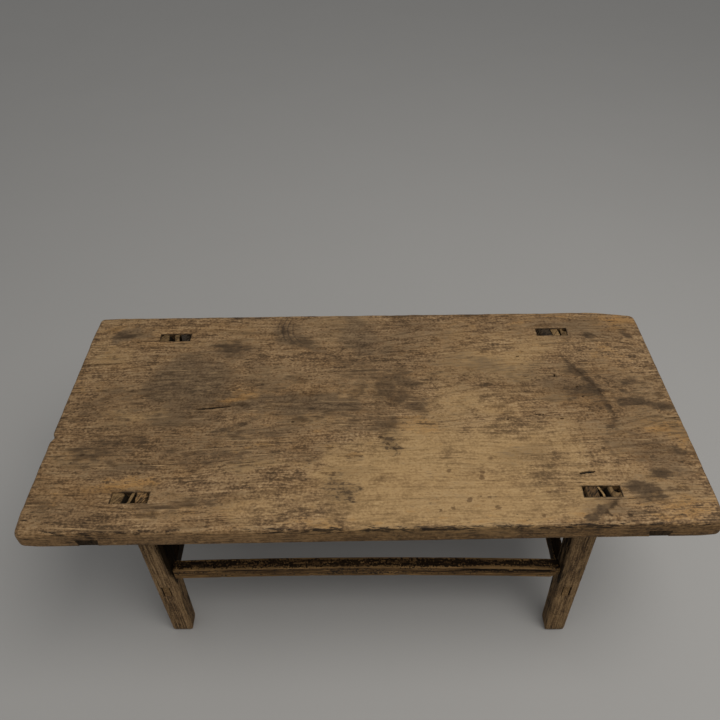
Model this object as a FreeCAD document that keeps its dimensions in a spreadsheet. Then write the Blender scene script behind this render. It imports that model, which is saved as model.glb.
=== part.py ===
import FreeCAD, Part
import Sketcher
import os
from types import SimpleNamespace

# A low table of old wood: one thick slab on four splayed legs, whose tenons come up through the slab.
# A wedge and a packing block lock each leg tenon in its mortise. Bowed stretchers join the legs along the
# table, and straight ones with wedged through tenons join them at each end. Two battens are dovetailed
# into the underside. Millimetres, with +X along the slab, the front at -Y and +Z up. The origin is on the
# floor under the middle of the slab.

driving_sizes = {
    # Slab
    "top_length": 1157,
    "top_depth": 528,
    "left_end_flare": 5,
    "table_height": 445,
    "top_thickness": 38,
    "plan_corner_radius": 14,
    "top_arris_radius": 9,
    "bottom_arris_width": 2.5,
    "worn_corner_length": 112,
    "worn_corner_depth": 12,
    "worn_corner_blend": 300,
    # Legs: how far in from the slab's ends their outer faces are, and from its edges their middles, both at
    # the shoulder, then how far each foot stands out
    "frame_shift": -5,
    "leg_end_setback": 171.5,
    "leg_edge_setback": 64,
    "leg_shoulder_width": 46,
    "leg_shoulder_depth": 36,
    "leg_foot_width_left": 41,
    "leg_foot_width_right": 39,
    "leg_foot_depth": 33,
    "leg_arris_radius": 3,
    "foot_spread_end": 2,
    "foot_spread_front_left": 12,
    "foot_spread_front_right": 22,
    "foot_spread_rear_left": 14,
    "foot_spread_rear_right": 14,
    # Wedged joint of leg and slab
    "joint_clearance": 0.2,
    "mortise_length": 64,
    "mortise_width": 22,
    "inner_shoulder": 3,
    "tenon_set": 1.2,
    "tenon_length_front_left": 22,
    "tenon_length_front_right": 26,
    "tenon_length_rear_left": 19,
    "tenon_length_rear_right": 31,
    "wedge_head_front_left": 10,
    "wedge_head_front_right": 9,
    "wedge_head_rear_left": 15,
    "wedge_head_rear_right": 16,
    "wedge_taper": 4,
    "packing_break_width": 7,
    "packing_break_depth": 12,
    # Long stretchers
    "long_stretcher_depth": 22,
    "long_stretcher_height": 31,
    "long_stretcher_bow": 10,
    "long_stretcher_outset": 2.5,
    "long_stretcher_arris": 3,
    "long_level_front_left": 219,
    "long_level_front_right": 206,
    "long_level_rear_left": 213,
    "long_level_rear_right": 213,
    "long_tenon_thickness": 10,
    "long_tenon_height": 20,
    "long_tenon_reach": 28,
    # End stretchers
    "end_stretcher_setback_left": 17,
    "end_stretcher_setback_right": 21,
    "end_stretcher_width": 21,
    "end_stretcher_height": 34,
    "end_level_left": 160,
    "end_level_right": 154,
    "end_stretcher_arris": 4,
    "end_tenon_thickness": 12,
    "end_tenon_height": 27,
    "end_wedge_head": 4.5,
    "end_wedge_tip": 1.5,
    # Battens under the slab
    "batten_setback_left": 117.5,
    "batten_setback_right": 103.5,
    "batten_mouth_width": 32,
    "batten_root_width": 38,
    "batten_depth": 18,
    # Every cutting block runs past the face that it opens by this much
    "overrun": 2,
}

doc = FreeCAD.newDocument("low_table")
sheet = doc.addObject("Spreadsheet::Sheet", "Sizes")
for line, (alias, amount) in enumerate(driving_sizes.items(), start=1):
    sheet.set(f"A{line}", alias)
    sheet.set(f"B{line}", str(amount))
    sheet.setAlias(f"B{line}", alias)
doc.recompute()


class Size:
    # A length, with the expression that ties it to the sheet.
    def __init__(self, value, text):
        self.value = value
        self.text = text

    def with_other(self, sign, other, value):
        text = other.text if isinstance(other, Size) else str(other)
        return Size(value, f"({self.text} {sign} {text})")

    def __add__(self, other):
        return self.with_other("+", other, self.value + number(other))

    def __sub__(self, other):
        return self.with_other("-", other, self.value - number(other))

    def __mul__(self, other):
        return self.with_other("*", other, self.value * number(other))

    def __truediv__(self, other):
        return self.with_other("/", other, self.value / number(other))

    def __neg__(self):
        return self * -1


def number(amount):
    return amount.value if isinstance(amount, Size) else amount


size = SimpleNamespace(**{alias: Size(float(sheet.get(alias)), f"Sizes.{alias}") for alias in driving_sizes})
floor = Size(0.0, "0")
underside = size.table_height - size.top_thickness

sides = {"left": -1, "right": 1}
rows = {"front": -1, "rear": 1}
corners = [(row, side) for row in rows for side in sides]


def per_corner(stem, row, side):
    return getattr(size, f"{stem}_{row}_{side}")


def bind(thing, **amounts):
    for name, amount in amounts.items():
        thing.setExpression(name, amount.text)


def along_x(side, near, far):
    # The range between two distances from the middle of the leg frame, towards one end of the table.
    if sides[side] < 0:
        return size.frame_shift - far, size.frame_shift - near
    return size.frame_shift + near, size.frame_shift + far


def along_y(row, near, far):
    # The range between two distances from the middle, towards the front or the rear.
    if rows[row] < 0:
        return -far, -near
    return near, far


def about(middle, width):
    return middle - width / 2, middle + width / 2


# Building blocks


def box(name, x, y, z):
    block = doc.addObject("Part::Box", name)
    bind(block, Length=x[1] - x[0], Width=y[1] - y[0], Height=z[1] - z[0])
    for axis, span in zip("xyz", (x, y, z)):
        block.setExpression(f"Placement.Base.{axis}", span[0].text)
    return block


def tapered_block(name, z, low, high):
    # A block whose section, given as its X and Y ranges, changes evenly from the low level to the high one.
    block = doc.addObject("Part::Wedge", name)
    upright = FreeCAD.Rotation(FreeCAD.Vector(1, 0, 0), 90)
    block.Placement = FreeCAD.Placement(FreeCAD.Vector(), upright)
    bind(block, Ymin=z[0], Ymax=z[1])
    bind(block, Xmin=low[0][0], Xmax=low[0][1], Zmin=-low[1][1], Zmax=-low[1][0])
    bind(block, X2min=high[0][0], X2max=high[0][1], Z2min=-high[1][1], Z2max=-high[1][0])
    return block


def joined(name, *pieces):
    fuse = doc.addObject("Part::MultiFuse", name)
    fuse.Shapes = list(pieces)
    fuse.Refine = True
    return fuse


def cut(name, base, *tools):
    difference = doc.addObject("Part::Cut", name)
    difference.Base = base
    difference.Tool = tools[0] if len(tools) == 1 else joined(f"{name}_tools", *tools)
    difference.Refine = True
    return difference


def common(name, base, tool):
    shared = doc.addObject("Part::Common", name)
    shared.Base = base
    shared.Tool = tool
    return shared


def runs_along(axis):
    # Chooses the edges that run mostly along an axis.
    def chosen(edge):
        run = edge.Vertexes[-1].Point - edge.Vertexes[0].Point
        return abs(getattr(run, axis)) > run.Length / 2
    return chosen


def lies_at(height):
    # Chooses the level edges at a height.
    def chosen(edge):
        return all(abs(vertex.Z - height.value) <= vertex.Tolerance for vertex in edge.Vertexes)
    return chosen


def rounded(name, base, radius, chosen):
    doc.recompute()
    fillet = doc.addObject("Part::Fillet", name)
    fillet.Base = base
    edges = enumerate(base.Shape.Edges, start=1)
    fillet.Edges = [(index, radius.value, radius.value) for index, edge in edges if chosen(edge)]
    return fillet


def dressed(body, base, name, kind, chosen, **amount):
    # A fillet or chamfer of a body on the edges that the test chooses.
    dressing = body.newObject(f"PartDesign::{kind}", name)
    edges = enumerate(base.Shape.Edges, start=1)
    dressing.Base = (base, [f"Edge{index}" for index, edge in edges if chosen(edge)])
    bind(dressing, **amount)
    doc.recompute()
    return dressing


def outline(body, name, plane, points, bows=None):
    # A closed sketch through the points. An edge with a bow is an arc that rises by it at its middle.
    bows = bows or {}
    sketch = body.newObject("Sketcher::SketchObject", name)
    support = [feature for feature in body.Origin.OriginFeatures if feature.Role == plane][0]
    sketch.AttachmentSupport = (support, "")
    sketch.MapMode = "FlatFace"
    places = [FreeCAD.Vector(x.value, y.value, 0) for x, y in points]
    for index, start in enumerate(places):
        finish = places[(index + 1) % len(places)]
        if index in bows:
            crown = (start + finish) / 2 + FreeCAD.Vector(0, bows[index].value, 0)
            sketch.addGeometry(Part.ArcOfCircle(start, crown, finish))
        else:
            sketch.addGeometry(Part.LineSegment(start, finish))

    def end_at(edge, place):
        return min((1, 2), key=lambda end: sketch.getPoint(edge, end).distanceToPoint(place))

    for index, (x, y) in enumerate(points):
        before = (index - 1) % len(points)
        start = end_at(index, places[index])
        meeting = end_at(before, places[index])
        sketch.addConstraint(Sketcher.Constraint("Coincident", before, meeting, index, start))
        for kind, amount in (("DistanceX", x), ("DistanceY", y)):
            fixed = sketch.addConstraint(Sketcher.Constraint(kind, -1, 1, index, start, amount.value))
            sketch.setExpression(f"Constraints[{fixed}]", amount.text)
    for index, bow in bows.items():
        following = points[(index + 1) % len(points)]
        run = following[0] - points[index][0]
        drop = following[1] - points[index][1]
        radius = (run * run + drop * drop + bow * bow * 4) / (bow * 8)
        curved = sketch.addConstraint(Sketcher.Constraint("Radius", index, radius.value))
        sketch.setExpression(f"Constraints[{curved}]", radius.text)
    return sketch


def padded(body, sketch, length):
    pad = body.newObject("PartDesign::Pad", f"{sketch.Name}_pad")
    pad.Profile = sketch
    bind(pad, Length=length)
    doc.recompute()
    return pad


# Legs: places shared by the pieces that meet them

leg_outer = size.top_length / 2 - size.leg_end_setback
leg_inner = leg_outer - size.leg_shoulder_width
row_middle = size.top_depth / 2 - size.leg_edge_setback
row_inner, row_outer = about(row_middle, size.leg_shoulder_depth)
mortise_inner = leg_inner + size.inner_shoulder
mortise_outer = mortise_inner + size.mortise_length
tenon_width = size.mortise_width - size.joint_clearance * 2
tenon_top = size.table_height - size.tenon_set


def foot_row(row, side):
    # How far out the foot's front or rear face stands.
    return row_outer + per_corner("foot_spread", row, side)


def leg_blank(row, side):
    # The tapered leg without its joints. The outer face keeps upright and the inner faces take the taper.
    foot_outer = leg_outer + size.foot_spread_end
    foot_face = foot_row(row, side)
    foot_width = getattr(size, f"leg_foot_width_{side}")
    foot = (along_x(side, foot_outer - foot_width, foot_outer),
            along_y(row, foot_face - size.leg_foot_depth, foot_face))
    shoulder = (along_x(side, leg_inner, leg_outer), along_y(row, row_inner, row_outer))
    block = tapered_block(f"leg_block_{row}_{side}", (floor, underside), foot, shoulder)
    return rounded(f"leg_blank_{row}_{side}", block, size.leg_arris_radius, runs_along("z"))


def leg_faces(side):
    # The space between the front and rear faces of the legs at one end, which trims the through tenons.
    foot_outer = leg_outer + size.foot_spread_end
    width = along_x(side, leg_inner, foot_outer)
    return tapered_block(f"leg_faces_{side}", (floor, underside),
                         (width, (-foot_row("front", side), foot_row("rear", side))),
                         (width, (-row_outer, row_outer)))


leg_blanks = {corner: leg_blank(*corner) for corner in corners}
faces_at_end = {side: leg_faces(side) for side in sides}
pieces = {}


# Slab, battens and the wedged leg tenons


def slab_blank():
    half_length = size.top_length / 2
    half_depth = size.top_depth / 2
    body = doc.addObject("PartDesign::Body", "slab_blank")
    body.setExpression("Placement.Base.z", underside.text)
    worn_start = half_length - size.worn_corner_length
    points = [
        (-half_length, -half_depth - size.left_end_flare),
        (half_length, -half_depth),
        (half_length, half_depth - size.worn_corner_depth),
        (worn_start, half_depth),
        (-half_length, half_depth + size.left_end_flare),
    ]
    pad = padded(body, outline(body, "slab_outline", "XY_Plane", points), size.top_thickness)
    upright = runs_along("z")
    corner_reach = half_length - size.worn_corner_length / 2

    def at_corner(edge):
        return upright(edge) and abs(edge.Vertexes[0].X) > corner_reach.value

    def at_wear(edge):
        return upright(edge) and abs(edge.Vertexes[0].X) < corner_reach.value and edge.Vertexes[0].X > 0

    plan = dressed(body, pad, "slab_corners", "Fillet", at_corner, Radius=size.plan_corner_radius)
    worn = dressed(body, plan, "slab_worn_corner", "Fillet", at_wear, Radius=size.worn_corner_blend)
    lower = dressed(body, worn, "slab_bottom_arris", "Chamfer", lies_at(floor), Size=size.bottom_arris_width)
    dressed(body, lower, "slab_top_arris", "Fillet", lies_at(size.top_thickness), Radius=size.top_arris_radius)
    return body


def batten_blank(side):
    # A dovetail key across the slab, wider inside the slab than at the underside.
    middle = (size.top_length / 2 - getattr(size, f"batten_setback_{side}")) * sides[side]
    across = about(floor, size.top_depth + (size.left_end_flare + size.overrun) * 2)
    levels = (underside, underside + size.batten_depth)
    return tapered_block(f"batten_blank_{side}", levels,
                         (about(middle, size.batten_mouth_width), across),
                         (about(middle, size.batten_root_width), across))


def top_mortise(row, side):
    return box(f"top_mortise_{row}_{side}", along_x(side, mortise_inner, mortise_outer),
               along_y(row, *about(row_middle, size.mortise_width)),
               (underside - size.overrun, size.table_height + size.overrun))


def leg_tenon(row, side):
    outer = mortise_inner + per_corner("tenon_length", row, side)
    return box(f"leg_tenon_{row}_{side}", along_x(side, mortise_inner, outer),
               along_y(row, *about(row_middle, tenon_width)), (underside - size.overrun, tenon_top))


def leg_wedge(row, side):
    # Thick at the top, driven down between the tenon and the packing block.
    cheek = mortise_inner + per_corner("tenon_length", row, side)
    head = cheek + per_corner("wedge_head", row, side)
    across = along_y(row, *about(row_middle, tenon_width))
    return tapered_block(f"leg_wedge_{row}_{side}", (underside, tenon_top),
                         (along_x(side, cheek, head - size.wedge_taper), across),
                         (along_x(side, cheek, head), across))


def packing_block(row, side):
    # Fills the outer end of the mortise. Its inner upper corner is broken away beside the wedge.
    cheek = mortise_inner + per_corner("tenon_length", row, side)
    head = cheek + per_corner("wedge_head", row, side)
    toe = head - size.wedge_taper
    across = along_y(row, *about(row_middle, tenon_width))
    block = tapered_block(f"packing_blank_{row}_{side}", (underside, tenon_top),
                          (along_x(side, toe, mortise_outer), across),
                          (along_x(side, head, mortise_outer), across))
    wide = along_y(row, *about(row_middle, size.mortise_width))
    broken = tapered_block(f"packing_break_{row}_{side}",
                           (tenon_top - size.packing_break_depth, tenon_top + size.overrun),
                           (along_x(side, toe - size.overrun, toe), wide),
                           (along_x(side, toe - size.overrun, head + size.packing_break_width), wide))
    return cut(f"packing_block_{row}_{side}", block, broken)


slab = slab_blank()
batten_blanks = {side: batten_blank(side) for side in sides}
mortises = [top_mortise(*corner) for corner in corners]
pieces["table_top"] = cut("table_top", slab, *mortises, *batten_blanks.values())
for side in sides:
    pieces[f"cross_batten_{side}"] = common(f"cross_batten_{side}", slab, batten_blanks[side])
for row, side in corners:
    pieces[f"leg_wedge_{row}_{side}"] = leg_wedge(row, side)
    pieces[f"packing_block_{row}_{side}"] = packing_block(row, side)


# Long stretchers, with blind tenons into the legs

long_outer = row_outer + size.long_stretcher_outset
long_inner = long_outer - size.long_stretcher_depth
long_tip = leg_inner + size.long_tenon_reach


def long_tenon(row, side, slack):
    # The tenon at one end, or with some slack the mortise that takes it.
    level = per_corner("long_level", row, side)
    middle = (long_outer + long_inner) / 2
    return box(f"long_{'mortise' if slack.value else 'tenon'}_{row}_{side}",
               along_x(side, leg_inner, long_tip + slack),
               along_y(row, *about(middle, size.long_tenon_thickness + slack * 2)),
               about(level, size.long_tenon_height + slack * 2))


def long_stretcher(row):
    left = size.frame_shift - leg_inner - size.long_tenon_reach / 2
    right = size.frame_shift + leg_inner + size.long_tenon_reach / 2
    left_level = about(per_corner("long_level", row, "left"), size.long_stretcher_height)
    right_level = about(per_corner("long_level", row, "right"), size.long_stretcher_height)
    points = [(left, left_level[0]), (right, right_level[0]), (right, right_level[1]), (left, left_level[1])]
    body = doc.addObject("PartDesign::Body", f"long_stretcher_blank_{row}")
    rear_face = along_y(row, long_inner, long_outer)[1]
    body.setExpression("Placement.Base.y", rear_face.text)
    bows = {0: size.long_stretcher_bow, 2: size.long_stretcher_bow}
    profile = outline(body, f"long_stretcher_profile_{row}", "XZ_Plane", points, bows)
    pad = padded(body, profile, size.long_stretcher_depth)
    dressed(body, pad, f"long_stretcher_arris_{row}", "Chamfer", runs_along("x"), Size=size.long_stretcher_arris)
    rail = cut(f"long_stretcher_rail_{row}", body, *(leg_blanks[row, side] for side in sides))
    tenons = [long_tenon(row, side, floor) for side in sides]
    return joined(f"long_stretcher_{row}", rail, *tenons)


for row in rows:
    pieces[f"long_stretcher_{row}"] = long_stretcher(row)


# End stretchers, with through tenons that are wedged at the legs' faces


def end_middle(side):
    return leg_outer - getattr(size, f"end_stretcher_setback_{side}")


def end_level(side):
    return getattr(size, f"end_level_{side}")


def end_span(side):
    return about(end_middle(side), size.end_tenon_thickness)


def end_tenon_levels(side):
    return about(end_level(side), size.end_tenon_height)


def end_reach(row, side):
    # Just past the outer face of the leg, from where the through tenon and its wedge are trimmed back.
    return foot_row(row, side) + size.overrun


def end_stretcher(side):
    bar = box(f"end_stretcher_bar_{side}",
              along_x(side, *about(end_middle(side), size.end_stretcher_width)),
              (-row_middle, row_middle), about(end_level(side), size.end_stretcher_height))
    bar = rounded(f"end_stretcher_blank_{side}", bar, size.end_stretcher_arris, runs_along("y"))
    rail = cut(f"end_stretcher_rail_{side}", bar, *(leg_blanks[row, side] for row in rows))
    through = box(f"end_through_{side}", along_x(side, *end_span(side)),
                  (-end_reach("front", side), end_reach("rear", side)), end_tenon_levels(side))
    tenons = common(f"end_tenons_{side}", through, faces_at_end[side])
    return joined(f"end_stretcher_{side}", rail, tenons)


def end_mortise(row, side):
    slack = size.joint_clearance
    near, far = end_span(side)
    low, high = end_tenon_levels(side)
    return box(f"end_mortise_{row}_{side}", along_x(side, near - slack, far + slack),
               along_y(row, floor, end_reach(row, side)), (low - slack, high + slack))


def end_wedge_blank(row, side):
    # Lies on the tenon, thick at the leg's outer face and thin at the middle of the leg.
    block = doc.addObject("Part::Wedge", f"end_wedge_blank_{row}_{side}")
    x = along_x(side, *end_span(side))
    y = along_y(row, row_middle, end_reach(row, side))
    base = end_tenon_levels(side)[1]
    tip = base + size.end_wedge_tip
    head = base + size.end_wedge_head
    first, last = (head, tip) if rows[row] < 0 else (tip, head)
    bind(block, Xmin=x[0], Xmax=x[1], X2min=x[0], X2max=x[1], Ymin=y[0], Ymax=y[1])
    bind(block, Zmin=base, Z2min=base, Zmax=first, Z2max=last)
    return block


for side in sides:
    pieces[f"end_stretcher_{side}"] = end_stretcher(side)
end_wedge_blanks = {corner: end_wedge_blank(*corner) for corner in corners}
for row, side in corners:
    name = f"stretcher_wedge_{row}_{side}"
    pieces[name] = common(name, end_wedge_blanks[row, side], faces_at_end[side])


# Legs with their joints


def leg(row, side):
    body = joined(f"leg_body_{row}_{side}", leg_blanks[row, side], leg_tenon(row, side))
    long_mortise = long_tenon(row, side, size.joint_clearance)
    return cut(f"leg_{row}_{side}", body, long_mortise, end_mortise(row, side), end_wedge_blanks[row, side])


for row, side in corners:
    pieces[f"leg_{row}_{side}"] = leg(row, side)

doc.recompute()

for thing in doc.Objects:
    if "Invalid" in thing.State or "Error" in thing.State:
        raise RuntimeError(f"{thing.Name} did not build: {thing.State}")
for name, piece in pieces.items():
    piece.Label = name
    if piece.Shape.isNull() or not piece.Shape.isValid():
        raise RuntimeError(f"{name} has no valid shape")
    if len(piece.Shape.Solids) != 1:
        raise RuntimeError(f"{name} has {len(piece.Shape.Solids)} solids")

os.makedirs("parts", exist_ok=True)
for name, piece in pieces.items():
    piece.Shape.exportStep(f"parts/{name}.step")
    print(f"{name}: {piece.Shape.Volume / 1000:.1f} cm3")
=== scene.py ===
import math

import bmesh
import bpy
from mathutils import Matrix, Vector, noise


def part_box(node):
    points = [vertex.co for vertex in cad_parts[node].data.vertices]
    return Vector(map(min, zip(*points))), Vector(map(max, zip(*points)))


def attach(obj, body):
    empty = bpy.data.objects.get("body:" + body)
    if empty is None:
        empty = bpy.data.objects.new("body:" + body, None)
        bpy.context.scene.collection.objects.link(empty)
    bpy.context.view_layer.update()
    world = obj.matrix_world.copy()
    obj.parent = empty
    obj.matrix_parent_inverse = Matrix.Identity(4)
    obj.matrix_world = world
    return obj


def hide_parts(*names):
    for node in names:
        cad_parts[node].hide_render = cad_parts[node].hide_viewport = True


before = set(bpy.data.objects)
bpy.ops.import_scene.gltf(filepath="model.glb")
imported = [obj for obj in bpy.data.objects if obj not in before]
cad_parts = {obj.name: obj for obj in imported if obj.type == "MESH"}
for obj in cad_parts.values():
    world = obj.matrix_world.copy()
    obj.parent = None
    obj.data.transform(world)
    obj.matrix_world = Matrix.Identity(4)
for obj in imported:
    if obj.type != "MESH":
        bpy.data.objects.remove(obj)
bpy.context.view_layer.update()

mm = 0.001
print("frame loaded,", len(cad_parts), "pieces of the table")


# measuring the frame

def spanAt(node, axis, place, reach=0.6 * mm):  # box of a node's points close to one plane
    points = [v.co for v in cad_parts[node].data.vertices if abs(v.co[axis] - place) < reach]
    low = Vector([min(p[i] for p in points) for i in range(3)])
    high = Vector([max(p[i] for p in points) for i in range(3)])
    return low, high


def cornerOf(box, side):  # the corner of a box that lies on the given side
    return Vector([box[1][i] if side[i] > 0 else box[0][i] for i in range(3)])


def ripple(point, size, seed=0.0):  # even noise from -1 to 1, lumps about `size` across
    return noise.noise(Vector((point[0] / size + seed, point[1] / size - seed, point[2] / size + 3.7 * seed)))


def ease(value, low, high):
    share = min(1.0, max(0.0, (value - low) / (high - low)))
    return share * share * (3 - 2 * share)


def mixed(first, second, share):
    return first + (second - first) * share


def evenSteps(low, high, step):
    count = max(1, round((high - low) / step))
    return [low + (high - low) * i / count for i in range(1, count)]


def reachOf(points, axis):
    return max(p.co[axis] for p in points) - min(p.co[axis] for p in points)


# mesh helpers

def sliceAt(bm, axis, places):  # cuts straight through a piece at each place
    normal = Vector((axis == 0, axis == 1, axis == 2))
    for place in places:
        parts = bm.verts[:] + bm.edges[:] + bm.faces[:]
        bmesh.ops.bisect_plane(bm, geom=parts, dist=1e-6, plane_co=normal * place, plane_no=normal)


def easeEdges(bm, edges, width, segments):
    bmesh.ops.bevel(bm, geom=edges, offset=width, offset_type="OFFSET", segments=segments, profile=0.5,
                    affect="EDGES", clamp_overlap=True, material=-1)


def climbOf(edge, axis=2):
    return abs(edge.verts[0].co[axis] - edge.verts[1].co[axis])


def vertsIn(parts):
    return [part for part in parts if isinstance(part, bmesh.types.BMVert)]


def sinkFaces(bm, faces):  # pushes faces in or out; the points it gives are still in place
    fresh = bmesh.ops.extrude_face_region(bm, geom=faces)["geom"]
    bmesh.ops.delete(bm, geom=faces, context="FACES")
    return vertsIn(fresh)


def openThrough(bm, inside):  # joins two openings by a passage, and gives the points of their rims
    gone = [f for f in bm.faces if inside(f)]
    rim = [e for e in {e for f in gone for e in f.edges} if not all(inside(f) for f in e.link_faces)]
    points = {v for e in rim for v in e.verts}
    bmesh.ops.delete(bm, geom=gone, context="FACES")
    bmesh.ops.bridge_loops(bm, edges=rim)
    return points


def weather(bm, strength):  # strength(vertex) gives how far the face has worn, in metres
    bm.normal_update()
    moves = [(v, v.normal * strength(v)) for v in bm.verts]
    for vertex, move in moves:
        vertex.co += move


def keepPiece(bm, name, node, finish, sharp):
    bmesh.ops.recalc_face_normals(bm, faces=bm.faces)
    for face in bm.faces:
        face.smooth = True
    mesh = bpy.data.meshes.new(name)
    bm.to_mesh(mesh)
    bm.free()
    mesh.materials.append(finish)
    mesh.set_sharp_from_angle(angle=math.radians(sharp))
    piece = bpy.data.objects.new(name, mesh)
    bpy.context.scene.collection.objects.link(piece)
    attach(piece, "root")
    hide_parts(node)
    print(name, "built,", len(mesh.polygons), "faces")


# shader helpers

def tint(red, green, blue):  # a colour read off the screen, as the shader wants it
    def linear(part):
        part /= 255
        return part / 12.92 if part <= 0.04045 else ((part + 0.055) / 1.055) ** 2.4
    return (linear(red), linear(green), linear(blue), 1.0)


def addNode(tree, kind, feeds, **settings):
    node = tree.nodes.new("ShaderNode" + kind)
    for name, value in settings.items():
        setattr(node, name, value)
    for socket, value in feeds.items():
        if isinstance(value, bpy.types.NodeSocket):
            tree.links.new(value, node.inputs[socket])
        else:
            node.inputs[socket].default_value = value
    return node


class Finish:  # one material, built up by laying colours over a ground
    def __init__(self, name, specular):
        self.material = bpy.data.materials.new(name)
        self.material.use_nodes = True
        self.tree = self.material.node_tree
        self.shader = self.tree.nodes["Principled BSDF"]
        self.feed("Specular IOR Level", specular)

    def node(self, kind, feeds, **settings):
        return addNode(self.tree, kind, feeds, **settings)

    def feed(self, name, value):
        if isinstance(value, bpy.types.NodeSocket):
            self.tree.links.new(value, self.shader.inputs[name])
        else:
            self.shader.inputs[name].default_value = value

    def sums(self, way, first, second=0.0, third=0.0):
        return self.node("Math", {0: first, 1: second, 2: third}, operation=way).outputs[0]

    def plus(self, first, second):
        return self.sums("ADD", first, second)

    def minus(self, first, second):
        return self.sums("SUBTRACT", first, second)

    def times(self, first, second):
        return self.sums("MULTIPLY", first, second)

    def scaled(self, value, amount, base):
        return self.sums("MULTIPLY_ADD", value, amount, base)

    def size(self, value):
        return self.sums("ABSOLUTE", value)

    def away(self, value, place):
        return self.size(self.minus(value, place))

    def wave(self, value, rate):
        return self.sums("SINE", self.times(value, 2 * math.pi * rate))

    def within(self, value, low, high, start=0.0, end=1.0):
        feeds = {"Value": value, "From Min": low, "From Max": high, "To Min": start, "To Max": end}
        return self.node("MapRange", feeds, interpolation_type="SMOOTHSTEP").outputs[0]

    def blended(self, base, parts):  # a base value plus each field's swing about its middle
        for field, amount in parts:
            base = self.plus(self.scaled(field, amount, -0.5 * amount), base)
        return base

    def vector(self, way, first, second, third=(0, 0, 0)):
        return self.node("VectorMath", {0: first, 1: second, 2: third}, operation=way).outputs

    def parts(self, vector):
        return self.node("SeparateXYZ", {0: vector}).outputs

    def facing(self):
        return self.parts(self.node("TexCoord", {}).outputs["Normal"])

    def turned(self, vector, angle):
        return self.node("Mapping", {"Vector": vector, "Rotation": (0, 0, angle)}).outputs[0]

    def field(self, vector, scale, detail, rough=0.5, shift=(0, 0, 0), wild=0.0):
        moved = self.node("Mapping", {"Vector": vector, "Location": shift, "Scale": scale}).outputs[0]
        feeds = {"Vector": moved, "Scale": 1.0, "Detail": detail, "Roughness": rough, "Distortion": wild}
        return self.node("TexNoise", feeds).outputs

    def cloud(self, *settings):
        return self.field(*settings)[0]

    def painted(self, name):  # a mark kept on the piece's own points
        return self.node("Attribute", {}, attribute_name=name).outputs["Fac"]

    def strokes(self, vector, rows, level):  # soft-edged marks: from, to (mm), width, strength
        total = 0.0
        for startX, startY, endX, endY, width, strength in rows:
            half = width / 2 * mm
            feeds = {
                "Vector": vector,
                "Location": ((startX + endX) / 2 * mm, (startY + endY) / 2 * mm, level),
                "Rotation": (0, 0, math.atan2(endY - startY, endX - startX)),
                "Scale": (math.hypot(endX - startX, endY - startY) / 2 * mm + half, half, 1),
            }
            local = self.node("Mapping", feeds, vector_type="TEXTURE").outputs[0]
            ball = self.node("TexGradient", {0: local}, gradient_type="SPHERICAL").outputs[1]
            total = self.scaled(ball, strength, total)
        return total

    def grain(self, along, shift, drift, lean=(0, 0)):  # own space, and one that runs with the grain
        place = self.node("TexCoord", {}).outputs["Object"]
        height = self.parts(place)[2]
        climb = self.node("CombineXYZ", {0: height, 1: height}).outputs[0]
        run = self.vector("MULTIPLY_ADD", climb, (-lean[0], -lean[1], 0), place)[0]
        if along != "x":
            parts = self.parts(run)
            order = {"y": (1, 0, 2), "z": (2, 0, 1)}[along]
            run = self.node("CombineXYZ", {i: parts[order[i]] for i in range(3)}).outputs[0]
        run = self.node("Mapping", {"Vector": run, "Location": shift}).outputs[0]
        sway = self.field(run, (2.2, 5, 5), 2)["Color"]
        return place, self.vector("MULTIPLY_ADD", sway, (0, drift, drift), run)[0]

    def mix(self, amount, under, over, way="MIX"):
        feeds = {0: amount, 6: under, 7: over}
        return self.node("Mix", feeds, data_type="RGBA", blend_type=way).outputs[2]

    def ground(self, tone, stops):  # the colour that the rest lies on, from dark to light grain
        self.tone = tone
        ramp = self.node("ValToRGB", {0: tone})
        for index, (place, colour) in enumerate(stops):
            known = index < len(ramp.color_ramp.elements)
            stop = ramp.color_ramp.elements[index] if known else ramp.color_ramp.elements.new(place)
            stop.position = place
            stop.color = tint(*colour)
        self.colour = ramp.outputs[0]

    def tones(self, dark, light):
        return self.mix(self.tone, tint(*dark), tint(*light))

    def lay(self, amount, colour, share=1.0):
        if share != 1.0:
            amount = self.times(amount, share)
        over = colour if isinstance(colour, bpy.types.NodeSocket) else tint(*colour)
        self.colour = self.mix(amount, self.colour, over)

    def done(self, rough, relief, depth):
        self.feed("Base Color", self.colour)
        self.feed("Roughness", rough)
        feeds = {"Height": self.blended(0.0, relief), "Distance": depth, "Strength": 0.6}
        self.feed("Normal", self.node("Bump", feeds).outputs[0])
        return self.material


# camera, floor and light

view = {"spot": (-0.002, -0.843, 1.382), "pitch": 44.11, "yaw": -0.60, "roll": 1.29, "focal": 665.0, "frame": 720.0,
        "sensor": 36}


def setCamera():
    pitch, yaw, roll = (math.radians(view[k]) for k in ("pitch", "yaw", "roll"))
    ahead = Vector((math.sin(yaw) * math.cos(pitch), math.cos(yaw) * math.cos(pitch), -math.sin(pitch)))
    right = Vector((math.cos(yaw), -math.sin(yaw), 0))
    down = ahead.cross(right)
    right, down = (right * math.cos(roll) + down * math.sin(roll), down * math.cos(roll) - right * math.sin(roll))
    turn = Matrix((right, -down, -ahead)).transposed().to_4x4()
    lens = bpy.data.cameras.new("camera")
    lens.sensor_width = view["sensor"]
    lens.lens = view["sensor"] * view["focal"] / view["frame"]
    camera = bpy.data.objects.new("camera", lens)
    camera.matrix_world = Matrix.Translation(view["spot"]) @ turn
    bpy.context.scene.collection.objects.link(camera)
    bpy.context.scene.camera = camera


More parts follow.
